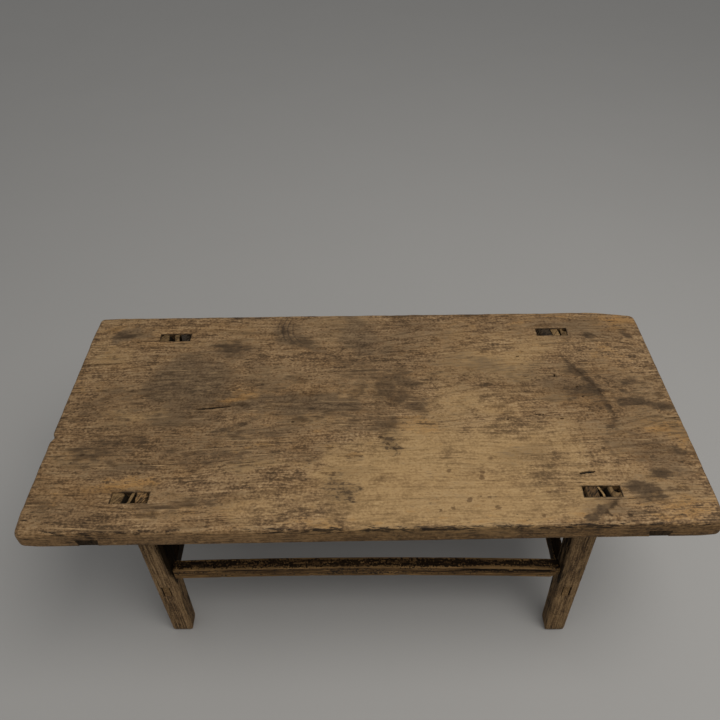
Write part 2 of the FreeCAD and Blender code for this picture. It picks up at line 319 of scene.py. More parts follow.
studio = {
    "floor": (160, 158, 155), "floorSize": 9.0, "patch": 0.97,
    "sky": 0.4, "skySeen": 0.72, "skyColour": (0.98, 0.99, 1.0, 1.0),
    "lampPower": 62, "lampSize": 2.2, "lampColour": (1.0, 0.985, 0.96),
    "lampSpot": Vector((0.9, -0.7, 3.0)), "lampAim": Vector((0, 0, 0.3)),
}


def setStudio():
    bm = bmesh.new()
    bmesh.ops.create_grid(bm, x_segments=8, y_segments=8, size=studio["floorSize"])
    mesh = bpy.data.meshes.new("floor")
    bm.to_mesh(mesh)
    bm.free()
    floor = bpy.data.objects.new("floor", mesh)
    bpy.context.scene.collection.objects.link(floor)
    plaster = Finish("floorPlaster", 0.1)
    patch = plaster.cloud(plaster.node("TexCoord", {}).outputs["Object"], (3, 3, 3), 3)
    pale = tint(*studio["floor"])
    dim = tuple(c * studio["patch"] for c in pale[:3]) + (1.0,)
    plaster.feed("Base Color", plaster.mix(patch, pale, dim))
    plaster.feed("Roughness", 0.9)
    mesh.materials.append(plaster.material)

    world = bpy.data.worlds.new("studio")
    bpy.context.scene.world = world
    world.use_nodes = True
    seen = addNode(world.node_tree, "LightPath", {}).outputs["Is Camera Ray"]
    feeds = {"Value": seen, "To Min": studio["sky"], "To Max": studio["skySeen"]}
    strength = addNode(world.node_tree, "MapRange", feeds).outputs[0]
    sky = world.node_tree.nodes["Background"]
    sky.inputs["Color"].default_value = studio["skyColour"]
    world.node_tree.links.new(strength, sky.inputs["Strength"])

    lamp = bpy.data.lights.new("softbox", "AREA")
    lamp.shape = "DISK"
    lamp.size = studio["lampSize"]
    lamp.energy = studio["lampPower"]
    lamp.color = studio["lampColour"]
    softbox = bpy.data.objects.new("softbox", lamp)
    aim = (studio["lampAim"] - studio["lampSpot"]).to_track_quat("-Z", "Y")
    softbox.matrix_world = Matrix.Translation(studio["lampSpot"]) @ aim.to_matrix().to_4x4()
    bpy.context.scene.collection.objects.link(softbox)
    bpy.context.scene.view_settings.view_transform = "Standard"


setCamera()
setStudio()
print("camera, floor and light set")


# the plank top

slab = {
    "step": 5.0 * mm, "halfDepth": 264 * mm, "flare": 5.0 * mm,  # the left end is a little wider
    "arris": 6.0 * mm, "underArris": 2.5 * mm, "corner": 13.0 * mm, "tightCorner": 10.5 * mm,
    "cornerReach": 45 * mm, "edgeReach": 28 * mm, "flareReach": 48 * mm,
    "wallRows": [7 * mm, 12.5 * mm, 18 * mm, 24 * mm],  # up from the underside; the third is the batten housing's root
    "edgeLines": [0.4 * mm, 1.4 * mm, 2.9 * mm, 4.8 * mm, 7.0 * mm, 9.5 * mm, 12.5 * mm],
    "mortiseRim": 1.6 * mm, "mortiseGap": 0.2 * mm, "tenonLevel": 443.8 * mm,
    "wornCorner": (466 * mm, 12 * mm),  # where the back edge starts to fall away, and how far
    "endNotch": (-67 * mm, 5.5 * mm, 7 * mm),  # place, depth and width
}

# hollows in the face: points along each one (mm), half width, depth
slabHollows = [
    ([(-322, -3), (-302, -1), (-284, 1), (-258, 4)], 2.5, 6.0),
    ([(-581, 119), (-548, 122), (-520, 123), (-494, 125)], 0.9, 5.0), ([(-581, 44), (-556, 45)], 0.7, 3.0),
    ([(-581, 175), (-552, 174)], 0.6, 3.0), ([(581, -40), (548, -42)], 0.7, 3.5),
    ([(581, 96), (556, 95), (540, 93)], 0.7, 3.5), ([(363, -163), (376, -161), (389, -159)], 2.7, 5.0),
    ([(-139, -37), (-136, -37)], 1.6, 5.0), ([(305, 128), (308, 128)], 1.5, 5.0),
    ([(313, -27), (323, -29)], 1.3, 4.0), ([(327, -28), (329, -28)], 1.3, 4.0), ([(358, -39), (362, -39)], 1.2, 4.0),
    ([(259, -38), (261, -39)], 1.2, 4.0), ([(405, 41), (408, 42)], 1.6, 5.0), ([(369, 70), (370, 75)], 1.4, 5.0),
    ([(411, 16), (414, 17)], 1.4, 4.0), ([(-571, -240), (-560, -241)], 1.0, 2.5),
]

# stains, by kind: centre (mm), half length, half width, turn (degrees), strength
slabStains = {
    "greyCloud": [
        (-354, 70, 78, 62, 10, 0.85), (-362, 122, 32, 34, 30, 0.6), (-426, 42, 34, 24, 10, 0.65),
        (-308, 30, 46, 34, 0, 0.75), (-340, -18, 64, 30, 5, 0.55), (-512, 211, 26, 18, 0, 0.8),
        (-474, 206, 32, 8, -4, 0.55), (-513, 194, 9, 14, 0, 0.6), (-130, 184, 50, 24, -28, 0.7),
        (-165, 222, 24, 26, 60, 0.35), (-20, 214, 32, 56, 24, 0.65), (-8, 176, 16, 26, 10, 0.5),
        (94, 232, 52, 24, -6, 0.42), (56, 153, 30, 13, -6, 0.5), (-150, 8, 120, 22, -2, 0.8),
        (-80, 2, 60, 24, -4, 0.5), (240, 110, 30, 14, 0, 0.25), (285, -122, 60, 26, 4, 0.42),
        (-420, -142, 40, 16, 8, 0.5), (376, 36, 62, 30, -24, 0.45), (506, -122, 54, 38, -20, 0.4),
        (466, -204, 26, 18, -40, 0.4), (-275, 157, 64, 22, -8, 0.45), (-238, 112, 30, 14, -10, 0.3),
        (-500, 30, 60, 18, 6, 0.25), (-150, -60, 60, 14, 6, 0.3), (-205, 70, 60, 22, 0, 0.25),
        (250, 74, 110, 56, -10, 0.3), (90, 150, 120, 60, 0, 0.25), (-330, 60, 240, 130, 6, 0.16),
        (-90, 210, 190, 60, -6, 0.2), (-300, -90, 220, 60, 4, 0.2), (430, 20, 110, 110, -20, 0.22),
        (470, 214, 110, 36, -8, 0.34), (300, 226, 190, 44, 0, 0.2), (510, -96, 90, 60, -20, 0.24),
        (390, -225, 36, 24, 20, 0.35),
    ],
    "darkMark": [
        (72, 46, 32, 42, 26, 0.5), (60, 62, 16, 8, 0, 0.5), (86, 34, 14, 7, 30, 0.5), (66, 20, 18, 7, -20, 0.45),
        (96, 56, 12, 6, 40, 0.5), (46, 40, 12, 7, 0, 0.45), (52, 70, 34, 20, 0, 0.35), (92, 6, 26, 22, 0, 0.55),
        (12, 62, 100, 70, 0, 0.2), (-20, 108, 60, 30, -10, 0.3), (-60, 128, 46, 16, -24, 0.4),
        (38, -80, 24, 42, 8, 0.6), (-12, -38, 58, 28, 4, 0.36), (60, -4, 26, 10, 0, 0.5),
        (-275, 160, 52, 16, -12, 0.45), (-290, 172, 26, 8, 0, 0.3), (-532, 10, 26, 14, 0, 0.4),
        (-546, -22, 24, 10, 0, 0.42), (-486, -22, 48, 9, 9, 0.42), (-468, -86, 64, 28, 4, 0.46),
        (-489, -100, 28, 9, 4, 0.4), (-404, -86, 14, 12, 20, 0.5), (-455, -60, 40, 10, 8, 0.3),
        (-204, -72, 52, 9, 3, 0.42), (-304, -114, 68, 22, 2, 0.42), (-82, -115, 62, 14, 4, 0.36),
        (-252, -113, 30, 9, 4, 0.4), (-546, -207, 22, 14, 0, 0.4), (-560, -165, 22, 10, 0, 0.32),
        (-50, -193, 44, 28, -20, 0.5), (-71, -173, 9, 6, 0, 0.6), (-261, -204, 44, 11, 3, 0.32),
        (-335, -214, 40, 9, 3, 0.28), (-120, -205, 60, 12, 2, 0.22), (411, 28, 15, 11, 0, 0.6),
        (371, 75, 5, 9, 0, 0.8), (504, 0, 30, 8, -3, 0.6), (554, -11, 24, 11, -14, 0.65), (518, 52, 15, 5, 2, 0.5),
        (496, 28, 10, 4, 0, 0.5), (500, -161, 20, 14, 0, 0.5), (545, -118, 34, 12, -12, 0.4),
        (468, 185, 11, 14, 0, 0.6), (546, 189, 11, 15, 0, 0.42), (211, 155, 80, 4, -1, 0.32),
        (-190, 255, 60, 5, 0, 0.3), (330, 60, 50, 22, -30, 0.25), (440, 15, 30, 26, -60, 0.3),
        (-100, -30, 60, 12, 6, 0.3), (120, 90, 40, 14, -20, 0.22), (-430, -215, 190, 46, 2, 0.26),
        (395, 50, 90, 60, -20, 0.28), (-470, -30, 150, 110, 4, 0.24), (-320, 10, 200, 90, 5, 0.2),
        (-20, 60, 190, 110, -8, 0.2), (-260, -120, 200, 46, 3, 0.24), (-520, -200, 80, 70, 0, 0.2),
        (-250, -232, 150, 30, 2, 0.05), (470, 30, 110, 70, -20, 0.26), (500, -150, 90, 60, -20, 0.14),
        (-480, 180, 110, 60, 0, 0.04),
    ],
    "bareWood": [
        (539, 233, 66, 30, -8, 0.7), (407, 244, 96, 13, 0, 0.5), (-254, 27, 40, 10, 5, 0.95),
        (-300, 40, 30, 8, 8, 0.35), (-425, -175, 62, 11, 2, 0.75), (-489, -194, 70, 11, 2, 0.6),
        (518, -62, 54, 20, -6, 0.5), (525, -236, 76, 26, 0, 0.5), (82, -52, 40, 28, 0, 0.4),
        (-230, -96, 130, 5, 4, 0.5), (-60, -110, 60, 5, 4, 0.4), (500, 120, 60, 40, -20, 0.35),
        (-540, 230, 50, 20, 0, 0.3), (-550, 60, 40, 30, 0, 0.3), (250, 235, 120, 12, 0, 0.25),
        (565, -90, 14, 40, 0, 0.5), (-350, -235, 160, 14, 1, 0.25), (80, -250, 260, 12, 0, 0.3),
    ],
    "paleWear": [
        (150, -170, 230, 100, 2, 0.7), (60, -130, 110, 60, 0, 0.5), (120, -226, 190, 52, 0, 0.7),
        (-440, -40, 120, 40, 4, 0.2), (280, -90, 120, 54, 6, 0.5), (180, -20, 130, 60, 14, 0.08),
        (-90, -165, 24, 12, 0, 0.6), (166, -14, 70, 34, 20, 0.18), (250, 60, 140, 80, 0, 0.35),
        (250, 150, 130, 50, 0, 0.3), (190, -222, 190, 36, 0, 0.5), (430, -110, 60, 50, 0, 0.15),
        (-420, -10, 60, 8, 6, 0.3), (-200, -140, 120, 12, 4, 0.3), (-520, 150, 60, 40, 0, 0.25),
        (480, -60, 40, 50, 0, 0.12), (-175, -215, 70, 46, 0, 0.4),
    ],
}

# marks drawn on the face: from, to (mm), width, strength
slabStrokes = {
    "drip": [
        (414, -215, 398, -231, 14, 1.0), (400, -229, 375, -253, 9, 0.9), (402, -220, 424, -246, 6, 0.7),
        (423, -246, 424, -248, 12, 1.2), (474, -240, 480, -252, 10, 0.7), (390, -243, 394, -246, 9, 0.9),
        (-256, 5, -212, 10, 11, 1.1), (408, 100, 430, 62, 9, 1.1), (428, 64, 440, 44, 12, 1.4),
        (438, 48, 456, 2, 9, 1.2), (455, 6, 459, -50, 9, 1.1), (396, 120, 416, 90, 5, 0.5),
        (437, 190, 470, 186, 9, 0.8), (466, 190, 510, 176, 6, 0.8), (508, 178, 562, 146, 6, 0.9),
        (-264, -72, -205, -26, 5, 0.75), (-288, -82, -262, -70, 4, 0.5), (-206, 9, -150, 8, 14, 0.5),
        (-528, 58, -527, 58, 10, 1.1), (-520, 2, -516, 2, 9, 1.0), (-335, 72, -334, 70, 9, 1.0),
        (-205, 59, -202, 58, 8, 0.9), (-457, 49, -456, 49, 8, 0.9), (-425, -81, -421, -82, 11, 1.0),
        (-510, -108, -506, -108, 10, 1.0), (-62, 134, -57, 131, 11, 1.1), (-30, 114, -26, 112, 10, 1.0),
        (24, -76, 28, -80, 12, 1.2), (35, -91, 38, -94, 11, 1.2), (48, -104, 52, -108, 10, 1.1),
    ],
    "smear": [
        (398, 118, 412, 92, 20, 0.7), (410, 96, 432, 56, 32, 1.0), (430, 60, 446, 28, 30, 1.0),
        (444, 30, 458, -40, 24, 0.9), (456, -44, 440, -66, 26, 0.6), (392, 34, 424, 26, 44, 0.9),
        (492, 53, 526, 51, 20, 1.0), (482, 30, 502, 28, 12, 1.0), (472, -6, 500, 4, 26, 1.0),
        (498, 4, 534, -5, 24, 1.0), (534, -10, 572, -16, 22, 1.1), (512, -112, 564, -122, 26, 0.8),
        (446, -190, 488, -214, 40, 0.9), (490, -160, 510, -163, 32, 0.8), (463, 190, 469, 178, 28, 1.0),
        (538, 198, 551, 178, 24, 0.8), (-150, 186, -108, 166, 54, 0.6), (-180, 244, -172, 204, 18, 0.8),
        (-528, 212, -498, 206, 34, 0.7), (-312, 170, -248, 158, 36, 0.7), (-512, -92, -438, -78, 46, 0.6),
        (-292, -68, -203, -28, 20, 0.8), (33, -68, 47, -106, 40, 0.6), (-64, -184, -16, -206, 54, 0.5),
        (404, -220, 352, -257, 24, 1.0),
    ],
    "scratch": [
        (-352, -104, -230, -95, 2.2, 1.0), (-240, -96, -110, -86, 2.2, 0.9), (-360, 40, -290, 62, 2.0, 0.7),
        (-330, 186, -262, 228, 2.2, 0.5), (-60, -16, -20, -64, 2.0, 0.4), (100, 52, 132, 12, 1.6, 0.8),
        (108, 42, 140, 4, 1.6, 0.7), (96, 38, 126, -6, 1.6, 0.8), (118, 60, 150, 24, 1.6, 0.5),
        (92, 24, 118, -14, 1.6, 0.6), (300, 190, 360, 150, 1.8, 0.5), (180, -60, 240, -96, 1.8, 0.4),
        (340, -46, 402, -70, 1.8, 0.4), (-520, 36, -420, 52, 2.0, 0.35), (230, -40, 330, -6, 1.8, 0.35),
        (-480, -126, -380, -112, 2, 0.4),
    ],
    "amber": [
        (-292, 15, -222, 25, 17, 1.1), (-250, 31, -205, 37, 10, 0.7), (-455, -178, -370, -172, 13, 0.9),
        (-450, -200, -400, -196, 8, 0.6), (-560, -190, -500, -190, 10, 0.5), (470, -60, 560, -70, 20, 0.6),
        (500, 235, 570, 230, 26, 0.8), (330, 250, 480, 250, 10, 0.6), (300, -240, 372, -244, 12, 0.4),
        (-205, -40, -170, -46, 12, 0.4), (-105, -60, -80, -62, 14, 0.5),
    ],
    "spot": [
        (141, -153, 141, -153, 12, 0.8), (196, -157, 197, -158, 11, 0.9), (195, -168, 196, -168, 12, 0.8),
        (168, -214, 169, -214, 13, 0.9), (201, -208, 202, -208, 8, 0.8), (214, -228, 215, -229, 10, 0.9),
        (188, -206, 187, -206, 7, 0.7), (302, -199, 303, -199, 9, 0.9), (140, -228, 141, -228, 9, 0.8),
        (118, -232, 118, -232, 10, 0.7), (286, -245, 287, -245, 10, 0.7), (216, -126, 217, -126, 16, 0.45),
        (233, -66, 234, -66, 10, 0.5), (-110, -244, -110, -244, 9, 0.5), (545, 203, 545, 203, 10, 0.7),
        (552, 178, 552, 178, 9, 0.6), (534, 196, 534, 196, 7, 0.6), (522, 170, 522, 170, 6, 0.5),
        (-385, -145, -386, -143, 12, 0.7), (336, -72, 336, -72, 7, 0.5), (270, 216, 270, 216, 14, 0.5),
        (478, 82, 479, 82, 7, 0.7), (248, 132, 249, 132, 9, 0.3), (404, -252, 404, -252, 11, 0.9),
    ],
}
potRings = [(-172, 250, -168, 200, 46, 1.3), (-165, 196, -128, 176, 34, 0.8)]


def gapTo(point, path):  # distance to a path, and how far along it
    best = (1e9, 0.0)
    runs = len(path) - 1
    for index in range(runs):
        start, end = Vector(path[index]), Vector(path[index + 1])
        line = end - start
        share = min(1.0, max(0.0, (point - start).dot(line) / line.length_squared))
        gap = (point - start - line * share).length
        best = min(best, (gap, (index + share) / runs))
    return best


def cutLines(low, high, fixed, step):
    marks = sorted({round(m, 6) for m in fixed} | {low, high})
    lines = [low]
    for first, second in zip(marks, marks[1:]):
        lines += evenSteps(first, second, step) + [second]
    return lines


def slabBlank(low, high, mortises, housings):
    rim = slab["mortiseRim"]
    xLines, yLines = [], []
    for axis, lines in ((0, xLines), (1, yLines)):
        marks = [x for box in housings for x in box["mouth"]] if axis == 0 else []
        for line in slab["edgeLines"]:
            marks += [low[axis] + line, high[axis] - line]
        for box in mortises:
            marks += [box[0][axis] - rim, box[0][axis], box[1][axis], box[1][axis] + rim]
        lines += cutLines(low[axis], high[axis], marks, slab["step"])
    across, along = len(xLines) - 1, len(yLines) - 1
    bm = bmesh.new()
    bmesh.ops.create_grid(bm, x_segments=across, y_segments=along, size=0.5)
    for vertex in bm.verts:
        column, row = round((vertex.co.x + 0.5) * across), round((vertex.co.y + 0.5) * along)
        vertex.co = (xLines[column], yLines[row], high.z)
    lowered = bmesh.ops.extrude_face_region(bm, geom=bm.faces[:], use_keep_orig=True)["geom"]
    bmesh.ops.translate(bm, verts=vertsIn(lowered), vec=(0, 0, low.z - high.z))
    walls = [e for e in bm.edges if climbOf(e) > 10 * mm]
    rows = len(slab["wallRows"])
    bmesh.ops.subdivide_edges(bm, edges=walls, cuts=rows, use_grid_fill=True)
    for vertex in bm.verts:
        row = round((vertex.co.z - low.z) / (high.z - low.z) * (rows + 1))
        if 0 < row <= rows:
            vertex.co.z = low.z + slab["wallRows"][row - 1]
    bmesh.ops.recalc_face_normals(bm, faces=bm.faces)
    bm.normal_update()
    return bm


def openMortise(bm, box):
    def inside(face):
        centre = face.calc_center_median()
        return abs(face.normal.z) > 0.9 and box[0].x < centre.x < box[1].x and box[0].y < centre.y < box[1].y
    openThrough(bm, inside)


def openHousing(bm, low, high, box):  # dovetailed channel for a batten, from front edge to back edge
    left, right = box["mouth"]
    tall = box["root"] - low.z

    def inMouth(vertex):
        return left - 0.1 * mm < vertex.co.x < right + 0.1 * mm

    strip = [f for f in bm.faces if f.normal.z < -0.9 and left < f.calc_center_median().x < right]
    bmesh.ops.translate(bm, verts=sinkFaces(bm, strip), vec=(0, 0, tall))
    ends = []
    for face in bm.faces:
        centre = face.calc_center_median()
        atEdge = min(centre.y - low.y, high.y - centre.y) < 0.01 * mm
        if atEdge and left < centre.x < right and centre.z < box["root"]:
            ends.append(face)
    bmesh.ops.delete(bm, geom=ends, context="FACES")
    rows = [row for row in slab["wallRows"] if row < tall - 1 * mm]
    upright = [e for e in bm.edges if abs(climbOf(e) - tall) < 0.01 * mm and inMouth(e.verts[0])]
    fresh = bmesh.ops.subdivide_edges(bm, edges=upright, cuts=len(rows), use_grid_fill=True)["geom_inner"]
    for vertex in vertsIn(fresh):  # the channel's sides take the rows of the slab's edge
        vertex.co.z = low.z + rows[round((vertex.co.z - low.z) / tall * (len(rows) + 1)) - 1]
    bmesh.ops.remove_doubles(bm, verts=bm.verts, dist=0.005 * mm)
    middle = (left + right) / 2
    for vertex in bm.verts:
        if vertex.co.z < box["root"] + 0.01 * mm and inMouth(vertex):
            vertex.co.x = middle + (vertex.co.x - middle) * mixed(1, box["flare"], (vertex.co.z - low.z) / tall)


def wander(x, z, way):  # how far a hand-sawn long edge strays inwards
    return mm * (0.5 + 0.5 * ripple((x, 0, z * 0.5), 0.11, 9 + way) + 0.25 * ripple((x, 0, z), 0.022, 4 + way))


def roundOff(edge, radius):  # how far a rounded arris falls below the flat
    return radius - math.sqrt(max(0, radius ** 2 - (radius - edge) ** 2)) if edge < radius else 0


def shapeSlab(bm, low, high):  # rounds corners and arrises and lets the hand-sawn edges wander
    wornStart, wornDepth = slab["wornCorner"]
    notchAt, notchDepth, notchWide = slab["endNotch"]
    moves = []
    for vertex in bm.verts:
        x, y, z = vertex.co
        endGap, sideGap = min(x - low.x, high.x - x), min(y - low.y, high.y - y)
        endWay, sideWay = math.copysign(1, x), math.copysign(1, y)
        newX, newY, newZ = x, y, z
        edge = min(endGap, sideGap)
        corner = slab["tightCorner"] if x < 0 < y else slab["corner"]
        if endGap < corner and sideGap < corner:
            u, v = 1 - endGap / corner, 1 - sideGap / corner
            discU, discV = u * math.sqrt(1 - v * v / 2), v * math.sqrt(1 - u * u / 2)
            newX = endWay * (high.x - corner + discU * corner)
            newY = sideWay * (high.y - corner + discV * corner)
            edge = corner * (1 - math.hypot(discU, discV))
        where = Vector((x, y, 0))
        nearCorner = 1 - ease(max(endGap, sideGap), 0, slab["cornerReach"])
        if z > high.z - 0.01 * mm:
            uneven = 0.22 * ripple(where, 0.07, 2) + 0.2 * ripple(where, 0.016, 5)
            newZ -= roundOff(edge, slab["arris"] * (1 + uneven + (1.2 if y < 0 else 0.4) * nearCorner))
            newZ -= 0.35 * mm * (1 + ripple(where, 0.21, 8)) + 0.16 * mm * (1 + ripple((x, y * 4, 0), 0.06, 11))
        elif z < low.z + 0.01 * mm:
            radius = slab["underArris"] * (1 + 0.3 * ripple(where, 0.05, 3) + 3.4 * nearCorner)
            newZ += 0.58 * roundOff(edge, radius)
            newZ += 0.25 * mm * (1 + ripple((x * 0.3, y, 0), 0.03, 4)) * ease(edge, 0, 12 * mm)
        nearEnd, nearSide = (1 - ease(gap, 0, slab["edgeReach"]) for gap in (endGap, sideGap))
        slip = 0.5 + 0.5 * ripple((0, y, z * 0.5), 0.08, 6 + endWay) + 0.25 * ripple((0, y, z), 0.018, 7 + endWay)
        notch = notchDepth * math.exp(-((y - notchAt) / notchWide) ** 2) if x < 0 else 0
        newX -= endWay * nearEnd * (1.1 * mm * slip + notch)
        newY -= sideWay * nearSide * wander(x, z, sideWay)
        outer = 1 - ease(sideGap, 0, slab["flareReach"])
        newY += sideWay * slab["flare"] * (high.x - x) / (high.x - low.x) * outer
        if y > 0:
            newY -= wornDepth * ease(x, wornStart, high.x + 20 * mm) * outer
        moves.append((vertex, Vector((newX, newY, newZ))))
    for vertex, spot in moves:
        vertex.co = spot


def carveHollows(bm, high):
    dark = bm.verts.layers.float.new("hollow")
    for path, half, depth in slabHollows:
        path = [(x * mm, y * mm) for x, y in path]
        half, depth = half * mm, depth * mm
        near = []
        for face in bm.faces:
            centre = face.calc_center_median()
            if centre.z > high.z - 14 * mm and face.normal.z > 0.1 and gapTo(centre.xy, path)[0] < half + 4 * mm:
                near.append(face)
        edges = list({e for f in near for e in f.edges})
        bmesh.ops.subdivide_edges(bm, edges=edges, cuts=4, use_grid_fill=True)
        bm.normal_update()
        for vertex in bm.verts:
            if vertex.co.z < high.z - 16 * mm:
                continue
            gap, share = gapTo(vertex.co.xy, path)
            jag = 1 + 0.45 * ripple(vertex.co, 0.006, 13)
            span = half * jag * (0.35 + 0.65 * math.sin(math.pi * min(1, max(0, share))) ** 0.5)
            if len(path) < 3:
                span = half * (1 + 0.2 * ripple(vertex.co, 0.003, 14))
            if gap < span:
                fall = 1 - (gap / span) ** 2
                vertex.co.z -= depth * fall * (0.8 + 0.3 * ripple(vertex.co, 0.012, 15))
                vertex[dark] = min(1.0, 0.35 + fall)
    bmesh.ops.triangulate(bm, faces=[f for f in bm.faces if len(f.verts) > 4], ngon_method="BEAUTY")


def paintStains(bm, low, high, battens):
    layers = {kind: bm.verts.layers.float.new(kind) for kind in (*slabStains, "rim", "lip")}
    kinds = {kind: [] for kind in slabStains}
    for kind, rows in slabStains.items():
        for x, y, long, wide, turn, strength in rows:
            turn = math.radians(turn)
            kinds[kind].append((x * mm, y * mm, long * mm, wide * mm, math.cos(turn), math.sin(turn), strength))
    for vertex in bm.verts:
        where = vertex.co
        gap = min(where.x - low.x, high.x - where.x, where.y - low.y, high.y - where.y)
        vertex[layers["rim"]] = 1 - ease(gap, 0, 16 * mm)
        onLip = (1 - ease(where.y - low.y, 1.5 * mm, 4.5 * mm)) * ease(where.z, high.z - 13 * mm, high.z - 7 * mm)
        lip = onLip * (0.42 + 0.22 * ease(where.x, -0.25, 0.1) + 0.4 * ripple(where, 0.06, 31))
        if where.z < high.z - 8 * mm and min(abs(where.y - low.y), abs(where.y - high.y)) < 9 * mm:
            aside = min(abs(where.x - middle) for middle in battens)
            lip = max(lip, 0.6 * (1 - ease(aside, 12 * mm, 34 * mm)))
        vertex[layers["lip"]] = lip
        if where.z < high.z - 20 * mm:
            continue
        warpX = where.x + 30 * mm * ripple(where, 0.07, 21) + 16 * mm * ripple(where, 0.026, 22)
        warpY = where.y + 20 * mm * ripple(where, 0.055, 23) + 11 * mm * ripple(where, 0.02, 24)
        for kind, rows in kinds.items():
            clear = 1.0
            for x, y, long, wide, cosine, sine, strength in rows:
                dx, dy = warpX - x, warpY - y
                size = ((dx * cosine + dy * sine) / long) ** 2 + ((dy * cosine - dx * sine) / wide) ** 2
                if size < 1.9:
                    clear *= 1 - strength * (1 - ease(size, 0.2, 1.9))
            vertex[layers[kind]] = 1 - clear


def seamRound(wood, vector, box):  # dirt in the seam round a mortise
    middle, half = (box[0] + box[1]) / 2, (box[1] - box[0]) / 2
    parts = wood.parts(vector)
    gaps = [wood.minus(wood.away(parts[axis], middle[axis]), half[axis]) for axis in (0, 1)]
    return wood.within(wood.size(wood.sums("MAXIMUM", *gaps)), 1.9 * mm, 0.7 * mm)


